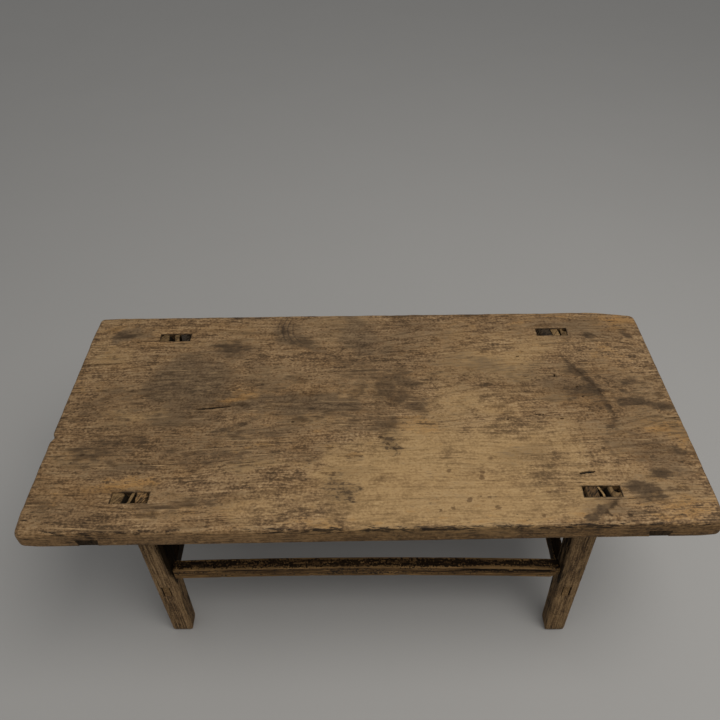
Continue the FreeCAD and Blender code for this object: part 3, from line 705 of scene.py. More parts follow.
def topFinish(level, mortises):
    wood = Finish("topElm", 0.15)
    place, run = wood.grain("x", (0.3, 0.1, 0), 0.055)
    ground = wood.cloud(place, (8, 13, 13), 5, 0.62)
    strands = wood.cloud(run, (5, 125, 125), 3, 0.55)
    fibres = wood.cloud(run, (20, 380, 380), 2, 0.5)
    grit = wood.cloud(place, (200, 250, 250), 2, 0.6)
    flecks = wood.cloud(run, (32, 90, 90), 5, 0.66, (8, 3, 0), 0.25)
    mottle = wood.cloud(place, (52, 70, 70), 4, 0.65, (1, 6, 0))
    hairs = wood.cloud(run, (5, 250, 250), 3, 0.55, (2, 7, 0), 0.1)
    greyCloud, darkMark, bareWood, paleWear = (wood.painted(kind) for kind in slabStains)
    tone = wood.blended(0.485, [(ground, 1.1), (strands, 0.5), (fibres, 1.1), (mottle, 1.1), (grit, 1.4)])
    wood.ground(tone, [(0.1, (70, 54, 35)), (0.36, (102, 79, 54)), (0.52, (125, 99, 69)), (0.66, (142, 115, 82)),
                       (0.9, (174, 147, 111))])
    warmth = wood.cloud(run, (5, 13, 13), 5, 0.7, (4, 2, 0))
    wood.lay(wood.within(warmth, 0.42, 0.7, 0, 0.35), wood.tones((96, 68, 38), (160, 121, 72)))

    # stains soak in along the grain, so their borders follow its lines
    smooth = wood.blended(0.0, [(ground, 2.4), (mottle, 0.7), (strands, 0.5)])
    soft = wood.blended(0.0, [(ground, 2.6), (strands, 1.0), (fibres, 1.7), (mottle, 1.8), (grit, 1.3)])
    swing = wood.blended(soft, [(flecks, 2.6)])
    pale = wood.within(wood.scaled(paleWear, 1.2, smooth), 0.0, 1.1)
    bare = wood.within(wood.plus(swing, bareWood), 0.3, 0.95)
    grey = wood.within(wood.scaled(greyCloud, 1.2, soft), 0.12, 1.0)
    held = wood.scaled(paleWear, -0.25, wood.times(darkMark, 1.3))
    crust = wood.within(wood.plus(swing, held), 0.62, 1.05)
    steeped = wood.within(wood.plus(soft, held), 0.25, 1.15)
    steeped = wood.times(steeped, wood.within(mottle, 0.36, 0.6, 0.6, 1.2))
    wood.lay(pale, wood.tones((134, 106, 69), (174, 144, 100)), 0.78)
    wood.lay(bare, wood.tones((124, 87, 45), (176, 134, 78)), 0.58)
    wood.lay(grey, wood.tones((60, 47, 33), (110, 90, 66)), 0.8)
    wood.lay(wood.scaled(crust, 0.42, wood.times(steeped, 0.4)), wood.tones((42, 31, 20), (86, 67, 46)))

    # flecks of old dirt, thickest where the stains are, and fine dark and pale lines of open grain
    caught = wood.scaled(wood.plus(greyCloud, darkMark), 0.09, flecks)
    specks = wood.within(wood.scaled(paleWear, -0.16, caught), 0.64, 0.72)
    wood.lay(specks, (46, 35, 23), 0.48)
    clean = wood.scaled(pale, -0.6, 1.0)
    for field, start, full, share, colour in ((hairs, 0.6, 0.72, 0.6, (60, 45, 29)),
                                              (hairs, 0.4, 0.26, 0.55, (172, 142, 102)),
                                              (flecks, 0.42, 0.28, 0.42, (158, 128, 90))):
        wood.lay(wood.times(clean, wood.within(field, start, full, 0, share)), colour)

    # drawn marks, all ragged at the edge but the scratches
    jitter = wood.field(place, (70, 100, 100), 5, 0.7)["Color"]
    loose = wood.vector("MULTIPLY_ADD", jitter, (0.018, 0.014, 0), place)[0]
    loose = wood.vector("SUBTRACT", loose, (0.009, 0.007, 0))[0]
    drawn = {}
    for kind, rows in slabStrokes.items():
        drawn[kind] = wood.strokes(place if kind == "scratch" else loose, rows, level)
    amber = wood.within(wood.scaled(swing, 0.3, drawn["amber"]), 0.15, 0.75, 0, 0.5)
    wood.lay(amber, wood.tones((120, 84, 44), (174, 132, 78)))
    smear = wood.within(wood.scaled(swing, 0.6, drawn["smear"]), 0.1, 0.6)
    smear = wood.times(smear, wood.within(drawn["smear"], 0.0, 0.16))
    smear = wood.times(smear, wood.within(mottle, 0.34, 0.6, 0.55, 1.0))
    wood.lay(smear, wood.tones((44, 33, 22), (84, 66, 45)))
    drip = wood.within(wood.scaled(swing, 0.45, drawn["drip"]), 0.12, 0.9)
    wood.lay(wood.times(drip, wood.within(flecks, 0.34, 0.54, 0.35, 0.95)), (50, 35, 18), 0.88)
    wood.lay(wood.within(drawn["spot"], 0.1, 0.4), (82, 59, 35), 0.7)
    wood.lay(wood.within(drawn["scratch"], 0.15, 0.8), (176, 148, 108), 0.45)

    # rings left by a pot near the back edge, and a smaller one by the right front leg
    wave = wood.wave(wood.vector("DISTANCE", place, (-0.1, 0.222, level))["Value"], 1 / 0.0105)
    arcs = wood.within(wood.strokes(place, potRings, level), 0.1, 0.6)
    wood.lay(wood.times(wood.within(wave, 0.35, 0.95), arcs), (54, 43, 32), 0.55)
    ring = wood.away(wood.vector("DISTANCE", loose, (0.46, -0.104, level))["Value"], 0.034)
    ring = wood.times(wood.within(ring, 0.007, 0.001), wood.within(swing, -0.5, 0.5))
    wood.lay(ring, (76, 58, 38), 0.6)

    # the edges are plainer and lighter towards the left, the underside and the ends duller
    facing = wood.facing()
    upward, ends = facing[2], wood.size(facing[0])
    walls = wood.minus(1.0, wood.size(upward))
    leftward = wood.within(wood.parts(place)[0], 0.05, -0.3)
    rightTones, leftTones = wood.tones((77, 56, 32), (139, 105, 64)), wood.tones((100, 75, 48), (162, 127, 86))
    wood.lay(walls, wood.mix(leftward, rightTones, leftTones), 0.72)
    wood.lay(wood.within(upward, -0.2, -0.8, 0, 0.85), wood.tones((70, 52, 33), (122, 96, 64)))
    wood.lay(ends, (104, 81, 54), 0.45)

    # growth rings, which rise a little towards the right on the face and slant across the ends
    years = wood.cloud(run, (0.8, 7, 7), 2, 0.5, (3, 9, 0))
    for part, rate in zip(wood.parts(run), (-0.3, 4.0, 7.0)):
        years = wood.scaled(part, rate, years)
    depth = wood.scaled(ends, 0.12, wood.within(strands, 0.36, 0.62, 0.12, 0.5))
    depth = wood.times(depth, wood.scaled(pale, -0.45, 1.0))
    years = wood.times(wood.within(wood.wave(years, 17), 0.3, 1.0), depth)
    wood.colour = wood.mix(years, wood.colour, (0.34, 0.31, 0.27, 1.0), "MULTIPLY")

    # the front lip carries broken black streaks, seams hold old dirt, and the carved cracks and holes are painted near
    # black
    grimy = wood.cloud(run, (34, 210, 210), 6, 0.75, (1, 2, 0), 0.6)
    patches = wood.within(wood.cloud(place, (26, 12, 30), 5, 0.7, (5, 5, 1)), 0.54, 0.66)
    wood.lay(wood.times(walls, patches), (40, 29, 18), 0.5)
    rim = wood.painted("rim")
    streak = wood.within(wood.scaled(rim, 0.1, grimy), 0.6, 0.72)
    wood.lay(wood.times(streak, wood.within(rim, 0.05, 0.3)), (40, 30, 20), 0.6)
    wood.lay(wood.within(wood.scaled(wood.painted("lip"), 0.24, grimy), 0.61, 0.71), (28, 20, 12), 0.85)
    broken = wood.within(mottle, 0.36, 0.56, 0.1, 0.85)
    for box in mortises:
        wood.lay(wood.times(seamRound(wood, place, box), broken), (24, 17, 11))
    wood.lay(wood.painted("hollow"), (13, 10, 7))
    rough = wood.scaled(pale, -0.1, wood.scaled(fibres, 0.2, 0.6))
    relief = [(fibres, 0.9), (grit, 0.7), (strands, 0.9), (hairs, -0.8), (specks, -0.25)]
    return wood.done(rough, relief, 0.6 * mm)


def buildTop():
    low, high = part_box("table_top")
    low.y, high.y = -slab["halfDepth"], slab["halfDepth"]
    room = Vector((0, slab["mortiseGap"], 0))
    mortises = []
    for side in joints:
        block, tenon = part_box("packing_block_" + side), spanAt("leg_" + side, 2, slab["tenonLevel"])
        left, right = min(block[0].x, tenon[0].x), max(block[1].x, tenon[1].x)
        mortises.append((Vector((left, block[0].y, 0)) - room, Vector((right, block[1].y, 0)) + room))
    housings = []
    for side in ("left", "right"):
        base, root = spanAt("cross_batten_" + side, 2, low.z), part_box("cross_batten_" + side)
        housings.append({"mouth": (base[0].x, base[1].x), "root": root[1].z,
                         "flare": (root[1].x - root[0].x) / (base[1].x - base[0].x)})
    bm = slabBlank(low, high, mortises, housings)
    for box in mortises:
        openMortise(bm, box)
    for box in housings:
        openHousing(bm, low, high, box)
    shapeSlab(bm, low, high)
    bm.normal_update()
    carveHollows(bm, high)
    paintStains(bm, low, high, [sum(box["mouth"]) / 2 for box in housings])
    keepPiece(bm, "plankTop", "table_top", topFinish(high.z, mortises), 45)


# the wedged joints of the legs: skew and breaks of the tenon's top, lean, bow, width and slide of the wedge, gap beside
# it, lost corner of the packing block (mm), and how dark the two loose pieces are
jointTerms = ("skew", "innerBreak", "frontBreak", "lean", "bow", "width", "slide", "gap", "lost", "wedgeShade",
              "packShade")
jointRows = {
    "front_left": (0.0, 11.0, 6.0, 5.0, 0.0, 0.45, 3.5, 10.0, 0.0, 0.3, 0.0),
    "front_right": (0.0, 9.0, 0.0, 6.0, 1.2, 0.4, 0.5, 7.5, 12.0, 0.0, 0.15),
    "rear_left": (-7.0, 6.0, 0.0, -3.0, 0.8, 0.6, 2.0, 9.0, 5.0, 0.45, 0.25),
    "rear_right": (4.0, 3.0, 0.0, 3.0, 0.0, 0.9, 1.0, 3.0, 8.0, 0.35, 0.35),
}
joints = {side: dict(zip(jointTerms, row)) for side, row in jointRows.items()}

buildTop()


# the legs

legTerms = ("seed", "mid", "light", "dark", "end", "black", "sootReach", "soot")
legs = {
    "ringStep": 7 * mm, "arris": 2.8 * mm, "windowGap": 1.5 * mm, "dent": 0.3 * mm, "footRound": (8 * mm, 4.2 * mm),
    "looks": {
        "front_left": (1.3, (112, 87, 59), (152, 124, 88), (54, 40, 26), (112, 86, 55), 0.5, 12, 1.2),
        "front_right": (4.1, (106, 82, 55), (148, 120, 84), (50, 37, 24), (76, 57, 36), 0.55, 6, 0.5),
        "rear_left": (7.7, (98, 76, 51), (134, 107, 75), (48, 36, 24), (54, 46, 37), 0.6, 26, 1.1),
        "rear_right": (9.2, (100, 78, 53), (136, 109, 77), (50, 37, 25), (52, 42, 31), 0.6, 26, 1.1),
    },
}


def legFinish(side, look, lean, window):
    wood = Finish("frameElm_" + side, 0.1)
    place, run = wood.grain("z", (look["seed"], look["seed"] * 0.37, 0), 0.006, lean)
    lines = wood.cloud(run, (5, 210, 210), 5, 0.66)
    fibres = wood.cloud(run, (26, 560, 560), 3, 0.62)
    mottle = wood.cloud(run, (26, 50, 50), 6, 0.7)
    grit = wood.cloud(place, (320, 320, 320), 3, 0.6)
    patch = wood.cloud(run, (12, 70, 70), 6, 0.72, (3, 1, 2))
    tone = wood.blended(0.5, [(lines, 1.4), (fibres, 1.5), (mottle, 0.9), (grit, 1.0)])
    wood.ground(tone, [(0.15, look["dark"]), (0.5, look["mid"]), (0.85, look["light"])])
    # lighter along the arrises: wear and a painted highlight
    wood.lay(wood.painted("wearAndHighlight"), look["light"], 0.3)
    # painted shade under the top, near the rail and on the inner and back faces, mixed with dirt; near black where
    # strongest
    grimeAndShade = wood.painted("grimeAndShade")
    wood.lay(grimeAndShade, (46, 35, 23), 0.35)
    wood.lay(wood.within(wood.scaled(grimeAndShade, 0.3, patch), 0.66, 0.76), (15, 10, 6), 0.85)
    soot = wood.within(wood.blended(wood.painted("soot"), [(patch, 1.6), (lines, 1.0), (grit, 0.8)]), 0.2, 0.8)
    wood.lay(soot, (9, 6, 3), 0.96)
    wood.feed("Specular IOR Level", wood.scaled(soot, -0.09, 0.1))

    # dirt in the seams beside the stretcher's tenon
    parts = wood.parts(place)
    beside, above = (wood.minus(wood.away(parts[i], window[0][i]), window[1][i]) for i in (0, 2))
    seam = wood.within(wood.away(beside, 0.8 * mm), 2.0 * mm, 0.8 * mm)
    seam = wood.times(seam, wood.within(above, 1.5 * mm, -1.5 * mm))
    wood.lay(wood.times(seam, wood.within(mottle, 0.34, 0.5)), (12, 8, 5), 0.92)
    pores = wood.within(wood.cloud(run, (50, 820, 820), 1), 0.6, 0.72)
    wood.lay(pores, (40, 30, 19), 0.5)
    stripes = wood.within(wood.cloud(wood.turned(place, 0.6), (420, 90, 90), 4, 0.65), 0.38, 0.62)
    dark, light = (tint(*[c * share for c in look["end"]]) for share in (0.4, 1.15))
    wood.lay(wood.painted("endGrain"), wood.mix(stripes, dark, light))
    # near black on the tenon's sides below its top: painted shade inside the mortise
    wood.lay(wood.painted("sunk"), (9, 7, 4))
    return wood.done(wood.scaled(lines, 0.25, 0.6), [(lines, 1.0), (fibres, 0.8), (pores, -0.4)], 0.9 * mm)


def legSection(side):  # foot, shoulder and tenon boxes of a leg
    node = "leg_" + side
    heights = (0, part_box("table_top")[0].z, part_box(node)[1].z)
    return [spanAt(node, 2, z) for z in heights]


def breakTenon(bm, side, seed, inward):  # its top is skewed and broken where it was driven
    shoulder, tenon = legSection(side)[1:]
    joint, top = joints[side], shoulder[1].z
    for axis, places in ((0, (0.28, 0.72)), (1, (0.2, 0.55, 0.85))):
        normal = Vector((axis == 0, axis == 1, 0))
        for share in places:
            parts = [f for f in bm.faces if f.calc_center_median().z > top + 1 * mm]
            parts += list({e for f in parts for e in f.edges}) + list({v for f in parts for v in f.verts})
            cutAt = mixed(tenon[0][axis], tenon[1][axis], share)
            bmesh.ops.bisect_plane(bm, geom=parts, dist=1e-6, plane_co=normal * cutAt, plane_no=normal)
    long = tenon[1].x - tenon[0].x
    for vertex in bm.verts:
        point = vertex.co
        rise = ease(point.z, top + 2 * mm, tenon[1].z)
        if rise == 0:
            continue
        u = (point.x - (tenon[1].x if inward > 0 else tenon[0].x)) * -inward
        v = (point.y - tenon[0].y) / (tenon[1].y - tenon[0].y)
        point.x -= inward * rise * joint["skew"] * mm * (0.5 - v) * u / long
        if point.z > tenon[1].z - 1 * mm:
            drop = joint["innerBreak"] * (1 - ease(u, 0, 6.5 * mm))
            drop += joint["frontBreak"] * (1 - ease(v, 0, 0.22)) * ease(u, 3 * mm, 9 * mm)
            point.z -= mm * drop + 0.5 * mm * (1 + ripple(point, 0.006, seed))


def buildLeg(side, look):
    end, hand = side.split("_")
    foot, shoulder, tenon = legSection(side)
    top = shoulder[1].z
    inward = -math.copysign(1, foot[0].x)
    outward = -1 if end == "front" else 1
    lean = (sum(shoulder, Vector()) - sum(foot, Vector())) / (2 * top)

    def boxAt(z):
        return mixed(foot[0], shoulder[0], z / top), mixed(foot[1], shoulder[1], z / top)

    bm = bmesh.new()
    bmesh.ops.create_cube(bm, size=1)
    for vertex in bm.verts:
        vertex.co = cornerOf(shoulder if vertex.co.z > 0 else foot, vertex.co)
        vertex.co.z = top if vertex.co.z > 0.2 else 0
    cap = max(bm.faces, key=lambda f: f.calc_center_median().z)
    bmesh.ops.inset_region(bm, faces=[cap], thickness=3 * mm)
    middle = cap.calc_center_median()
    for vertex in cap.verts:
        spot = cornerOf(tenon, vertex.co - middle)
        vertex.co = (spot.x, spot.y, top)
    cap = bmesh.ops.extrude_discrete_faces(bm, faces=[cap])["faces"][0]
    for vertex in cap.verts:
        vertex.co.z = tenon[1].z
    upright = [e for e in bm.edges if climbOf(e) > 0.2]
    easeEdges(bm, upright + [e for e in bm.edges if max(v.co.z for v in e.verts) < 0.01 * mm], legs["arris"], 3)

    # window for the end stretcher's tenon, pocket for the long stretcher's
    stretcher, rail = "end_stretcher_" + hand, "long_stretcher_" + end
    low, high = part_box(stretcher)
    tongue = spanAt(stretcher, 1, low.y if outward < 0 else high.y, 2 * mm)
    x0, x1, z0 = tongue[0].x - 0.3 * mm, tongue[1].x + 0.3 * mm, tongue[0].z - 0.3 * mm
    z1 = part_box("stretcher_wedge_" + side)[1].z + 0.2 * mm
    windowX, windowZ = (x0 + x1) / 2, (z0 + z1) / 2
    low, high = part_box(rail)
    stub = spanAt(rail, 0, low.x if hand == "left" else high.x)
    y0, y1, q0, q1 = stub[0].y - 0.2 * mm, stub[1].y + 0.2 * mm, stub[0].z - 0.2 * mm, stub[1].z + 0.2 * mm
    pocketZ = (q0 + q1) / 2
    rings = [z for z in evenSteps(4 * mm, top, legs["ringStep"])
             if min(abs(z - m) for m in (z0, z1, q0, q1)) > 2 * mm]
    sliceAt(bm, 2, sorted(rings + [5.5 * mm, z0, z1, q0, q1, top + 12 * mm, top + 24 * mm]))
    sliceAt(bm, 0, [x0, x1])
    sliceAt(bm, 1, [y0, y1])
    bm.normal_update()

    def inWindow(face):
        centre = face.calc_center_median()
        return abs(face.normal.y) > 0.7 and x0 < centre.x < x1 and z0 < centre.z < z1

    rim = openThrough(bm, inWindow)
    faceY = sum(v.co.y for v in rim) / len(rim)
    for vertex in rim:
        if (vertex.co.y - faceY) * outward > 0:
            vertex.co.x += math.copysign(legs["windowGap"], vertex.co.x - windowX)
            vertex.co.z += math.copysign(legs["windowGap"] * 0.4, vertex.co.z - windowZ)
        elif vertex.co.z > windowZ and vertex.co.z > z1 - 1 * mm:
            vertex.co.z = tongue[1].z + 1.5 * mm
    bm.normal_update()
    pocket = []
    for face in bm.faces:
        centre = face.calc_center_median()
        if face.normal.x * inward > 0.7 and y0 < centre.y < y1 and q0 < centre.z < q1:
            pocket.append(face)
    for vertex in sinkFaces(bm, pocket):
        vertex.co.x = (stub[0].x if hand == "left" else stub[1].x) - inward * 0.4 * mm
    breakTenon(bm, side, look["seed"], inward)

    # hand-worked faces, dented arrises lightened by wear and a painted highlight, dirt round the joints, and painted
    # shade under the top and on the inner and back faces
    names = ("wearAndHighlight", "grimeAndShade", "soot", "endGrain", "sunk")
    wearAndHighlight, grimeAndShade, soot, grainEnd, sunkShade = (bm.verts.layers.float.new(name) for name in names)

    def strength(vertex):
        point = vertex.co
        if point.z > top - 1 * mm:
            return 0
        box = boxAt(point.z)
        gapX, gapY = (min(point[i] - box[0][i], box[1][i] - point[i]) for i in (0, 1))
        if min(gapX, gapY) > 1.2 * mm:
            return 0
        clear = max(abs(point.x - windowX) - 7 * mm, abs(point.z - windowZ) - 19 * mm)
        calm = min(1.0, 0.25 + ease(clear, 0, 9 * mm))
        calm *= min(1.0, 0.25 + ease(abs(point.z - pocketZ), 14 * mm, 26 * mm))
        onArris = max(gapX, gapY) < 4 * mm
        # arrises marked for wear and a painted highlight
        vertex[wearAndHighlight] = (0.6 + 0.5 * ripple(point, 0.05, look["seed"])) * onArris
        sway = legs["dent"] * (ripple((point.x, point.y, point.z * 0.4), 0.03, look["seed"]) - 0.4)
        chip = max(0.0, ripple(point, 0.012, look["seed"] + 3) - 0.28) * 2.2 * mm * onArris
        return calm * (sway - chip)

    tall, inset = legs["footRound"]
    for vertex in bm.verts:  # feet are rounded under by wear
        if vertex.co.z < tall:
            box = boxAt(vertex.co.z)
            pull = inset * (1 - vertex.co.z / tall) ** 2
            for axis in (0, 1):
                middle, half = (box[0][axis] + box[1][axis]) / 2, (box[1][axis] - box[0][axis]) / 2
                vertex.co[axis] -= (vertex.co[axis] - middle) * pull / half
    for vertex in bm.verts:
        point = vertex.co
        onTenon = point.z > top + 2 * mm
        vertex[grainEnd] = float(onTenon)
        # painted shade on the tenon's sides down inside the mortise
        vertex[sunkShade] = ease(tenon[1].z - point.z, 2.5 * mm, 5 * mm) * onTenon
        box = boxAt(min(point.z, top))
        fromInner = abs(point.x - box[1 if inward > 0 else 0].x)
        fromBack = abs(point.y - box[1 if outward < 0 else 0].y)
        inner, back = (1 - ease(gap, 0.8 * mm, 2.2 * mm) for gap in (fromInner, fromBack))
        half = 1 - ease(fromInner, 6 * mm, 26 * mm)
        nearTop = ease(point.z, 0.25, 0.4) * (0.25 + 0.75 * half)
        nearRail = (1 - ease(abs(point.z - pocketZ), 14 * mm, 50 * mm)) * half
        # painted shade under the top, near the rail and on the inner and back faces, mixed with dirt
        vertex[grimeAndShade] = min(1.0, look["black"] * (nearTop + 0.6 * nearRail + 0.12) + 0.42 * inner + 0.3 * back)
        third = 1 - ease(fromInner, 2 * mm, look["sootReach"] * mm)
        vertex[soot] = look["soot"] * third * ease(point.z, q0 - 40 * mm, q1 + 50 * mm)
    weather(bm, strength)
    window = (Vector((windowX, 0, windowZ)), Vector(((x1 - x0) / 2, 0, (z1 - z0) / 2)))
    keepPiece(bm, "splayedLeg_" + side, "leg_" + side, legFinish(side, look, lean, window), 42)


for side, row in legs["looks"].items():
    buildLeg(side, dict(zip(legTerms, row)))


# stretchers, with what is left of their black lacquer; the end ones are near black, lacquer together with painted shade

rails = {
    "step": 7 * mm, "arris": 1.9 * mm, "endArris": 2.4 * mm, "dent": 0.22 * mm, "inset": 2 * mm,
    "seeds": {"front": 2.2, "rear": 6.1, "left": 3.4, "right": 8.8},
    # black scar on the front one: from, to, below the top, half width, depth
    "hollow": (151 * mm, 347 * mm, 8.0 * mm, 5.0 * mm, 3.0 * mm),
}


def railFinish(name, along, seed, bareness, shine):
    wood = Finish(name, shine)
    place, run = wood.grain(along, (seed, seed * 0.53, 0.1), 0.01)
    lines = wood.cloud(run, (9, 210, 210), 5, 0.66)
    fibres = wood.cloud(run, (36, 640, 640), 3, 0.6)
    flakes = wood.cloud(run, (22, 110, 110), 7, 0.72, (2, 5, 1))
    patch = wood.cloud(run, (5, 24, 24), 3, 0.6, (7, 1, 4))
    grit = wood.cloud(place, (260, 260, 260), 3, 0.65)
    tone = wood.blended(0.5, [(lines, 1.7), (fibres, 1.4), (flakes, 0.9)])
    wood.ground(tone, [(0.15, (34, 23, 12)), (0.5, (88, 65, 39)), (0.85, (148, 115, 73))])
    sunk, wearAndHighlight, bare = (wood.painted(name) for name in ("sunk", "wearAndHighlight", "bare"))
    wood.lay(wearAndHighlight, (150, 118, 76), 0.5)
    wood.lay(bare, wood.tones((70, 53, 34), (150, 119, 81)), 0.85)
    hold = wood.blended(0.5, [(flakes, 2.4), (patch, 1.3), (lines, 0.9), (grit, 2.2)])
    for field, amount in ((wood.facing()[2], 0.32), (sunk, 0.5), (wearAndHighlight, -0.5), (bare, -2.0)):
        hold = wood.scaled(field, amount, hold)
    lacquer = wood.within(hold, bareness - 0.04, bareness + 0.06)
    wood.lay(lacquer, wood.tones((7, 4, 2), (27, 18, 10)), 0.95)
    return wood.done(wood.scaled(lacquer, -0.16, 0.7), [(lacquer, 0.4), (lines, 1.0), (fibres, 0.8)], 0.8 * mm)


def faceOfLeg(side, z):  # x of a leg's inner face at a height
    foot, shoulder = legSection(side)[:2]
    index = 1 if "left" in side else 0
    return mixed(foot[index].x, shoulder[index].x, z / shoulder[0].z)


def drawTongue(bm, axis, way):  # the end face of a rail, inset and doubled, and its middle
    cap = max(bm.faces, key=lambda f: f.calc_center_median()[axis] * way)
    bmesh.ops.inset_region(bm, faces=[cap], thickness=rails["inset"])
    tongue = bmesh.ops.extrude_discrete_faces(bm, faces=[cap])["faces"][0]
    return tongue, tongue.calc_center_median()


def railWear(vertex, wearAndHighlight, gaps, axis, seed):  # rubbed and chipped arrises, uneven faces
    point = vertex.co
    grain = [part * 0.4 if i == axis else part for i, part in enumerate(point)]
    onArris = max(gaps) < 3 * mm
    vertex[wearAndHighlight] = (0.7 + 0.5 * ripple(point, 0.05, seed)) * onArris
    chip = max(0.0, ripple(point, 0.012, seed + 3) - 0.25) * 1.8 * mm * onArris
    return rails["dent"] * (ripple(grain, 0.02, seed) - 0.3) - chip


def buildLongStretcher(end):
    node, seed = "long_stretcher_" + end, rails["seeds"][end]
    low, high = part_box(node)
    leftX, rightX = faceOfLeg(end + "_left", 0.22), faceOfLeg(end + "_right", 0.21)
    leftZ, rightZ = (spanAt(node, 0, x, 1.6 * mm)[0].z for x in (leftX, rightX))
    middle = spanAt(node, 0, (leftX + rightX) / 2, 3 * mm)
    tall = middle[1].z - middle[0].z
    bow = middle[0].z - (leftZ + rightZ) / 2

    def lineAt(x):
        share = (x - leftX) / (rightX - leftX)
        return mixed(leftZ, rightZ, share) + 4 * bow * share * (1 - share)

    bm = bmesh.new()
    bmesh.ops.create_cube(bm, size=1)
    for vertex in bm.verts:  # straight first, bowed at the end
        vertex.co = cornerOf(((leftX, low.y, 0), (rightX, high.y, tall)), vertex.co)
    easeEdges(bm, [e for e in bm.edges if climbOf(e, 0) > 0.1], rails["arris"], 3)
    for way, endX, stubX in ((-1, leftX, low.x), (1, rightX, high.x)):
        stub = spanAt(node, 0, stubX)
        tongue, centre = drawTongue(bm, 0, way)
        for vertex in tongue.verts:
            vertex.co.x = stubX
        shrinkY, shrinkZ = ((stub[1][i] - stub[0][i]) / reachOf(tongue.verts, i) for i in (1, 2))
        around = set(tongue.verts)
        for face in bm.faces:
            drawn = all(min(abs(v.co.x - endX), abs(v.co.x - stubX)) < 0.01 * mm for v in face.verts)
            if drawn and len({round(v.co.x, 5) for v in face.verts}) == 2:
                around.update(face.verts)
        for vertex in around:
            vertex.co.y = (stub[0].y + stub[1].y) / 2 + (vertex.co.y - centre.y) * shrinkY
            vertex.co.z = (stub[0].z + stub[1].z) / 2 - lineAt(endX) + (vertex.co.z - centre.z) * shrinkZ
    sliceAt(bm, 0, evenSteps(leftX, rightX, rails["step"]))
    sliceAt(bm, 1, [mixed(low.y, high.y, s) for s in (0.3, 0.42, 0.6, 0.75)])
    sliceAt(bm, 2, [tall * s for s in (0.25, 0.5)] + [tall - s * mm for s in (12, 10, 7.5, 5, 3)])
    wearAndHighlight, sunk = bm.verts.layers.float.new("wearAndHighlight"), bm.verts.layers.float.new("sunk")
    start, stop, scarAt, broad, deep = rails["hollow"]

    def strength(vertex):
        point = vertex.co
        if point.x < leftX + 1 * mm or point.x > rightX - 1 * mm:
            return 0
        gaps = min(point.y - low.y, high.y - point.y), min(point.z, tall - point.z)
        return railWear(vertex, wearAndHighlight, gaps, 0, seed)

    weather(bm, strength)
    for vertex in bm.verts:
        point = vertex.co
        if end == "front":
            fromFront, fromTop = point.y - low.y, tall - point.z
            length = ease(point.x, start, start + 60 * mm) * math.sqrt(1 - ease(point.x, stop - 6 * mm, stop))
            if length > 0 and fromFront < 3 * mm:
                across = (fromTop - scarAt - (1 - length) * 2 * mm) / (broad * length)
                fall = max(0.0, 1 - across * across)
                point.y += deep * fall
                vertex[sunk] = min(1.0, fall * 2.5)
            if point.x < rightX + 0.1 * mm:  # its lower right tip is worn off
                tip = ease(point.x, rightX - 16 * mm, rightX) * (1 - ease(point.z, 0, 13 * mm))
                tip *= 1 - ease(fromFront, 0, 11 * mm)
                point.z += 4 * mm * tip
                point.y += 3 * mm * tip
        point.z += lineAt(min(rightX, max(leftX, point.x)))
    finish = railFinish("lacquerRemains_" + end, "x", seed, 0.7, 0.08)
    keepPiece(bm, "longStretcher_" + end, node, finish, 42)


def buildEndStretcher(hand):
    node, seed = "end_stretcher_" + hand, rails["seeds"][hand]
    low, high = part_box(node)
    base, crown = spanAt(node, 2, low.z), spanAt(node, 2, high.z)
    bm = bmesh.new()
    bmesh.ops.create_cube(bm, size=1)
    for vertex in bm.verts:
        span = crown if vertex.co.z > 0 else base
        vertex.co = cornerOf(((low.x, span[0].y, low.z), (high.x, span[1].y, high.z)), vertex.co)
    easeEdges(bm, [e for e in bm.edges if climbOf(e, 1) > 0.1], rails["endArris"], 3)
    for way, side, tipY in ((-1, 0, low.y), (1, 1, high.y)):
        tongue = spanAt(node, 1, tipY, 2 * mm)
        tip, centre = drawTongue(bm, 1, way)
        shrinkX, shrinkZ = ((tongue[1][i] - tongue[0][i]) / reachOf(tip.verts, i) for i in (0, 2))
        outer, inner = tongue[side].y, tongue[1 - side].y
        ring = {v for e in {e for v in tip.verts for e in v.link_edges} for v in e.verts}
        tipVerts = set(tip.verts)
        for vertex in ring:
            vertex.co.x = (tongue[0].x + tongue[1].x) / 2 + (vertex.co.x - centre.x) * shrinkX
            vertex.co.z = (tongue[0].z + tongue[1].z) / 2 + (vertex.co.z - centre.z) * shrinkZ
            if vertex in tipVerts:
                climb = (vertex.co.z - tongue[0].z) / (tongue[1].z - tongue[0].z)
                vertex.co.y = mixed(outer, inner, climb) - way * 0.5 * mm
            else:
                vertex.co.y = mixed(base[side].y, crown[side].y, (vertex.co.z - low.z) / (high.z - low.z))
    sliceAt(bm, 1, evenSteps(base[0].y + 3 * mm, base[1].y - 3 * mm, rails["step"]))
    for axis in (0, 2):
        sliceAt(bm, axis, [mixed(low[axis], high[axis], s) for s in (0.33, 0.66)])
    wearAndHighlight, bare = bm.verts.layers.float.new("wearAndHighlight"), bm.verts.layers.float.new("bare")

    def strength(vertex):
        point = vertex.co
        if not base[0].y + 2 * mm < point.y < base[1].y - 2 * mm:
            return 0
        return railWear(vertex, wearAndHighlight, [min(point[i] - low[i], high[i] - point[i]) for i in (0, 2)], 1, seed)

    weather(bm, strength)
    for vertex in bm.verts:
        vertex[bare] = float(not base[0].y - 8 * mm < vertex.co.y < base[1].y + 8 * mm)
    # nearly all lacquer kept: near black as lacquer and painted shade under the top
    finish = railFinish("lacquerRemains_" + hand, "y", seed, 0.02, 0.03)
    keepPiece(bm, "endStretcher_" + hand, node, finish, 42)


for end in ("front", "rear"):
    buildLongStretcher(end)
for hand in ("left", "right"):
    buildEndStretcher(hand)


# wedges, packing blocks and battens, cut from the frame's own solids

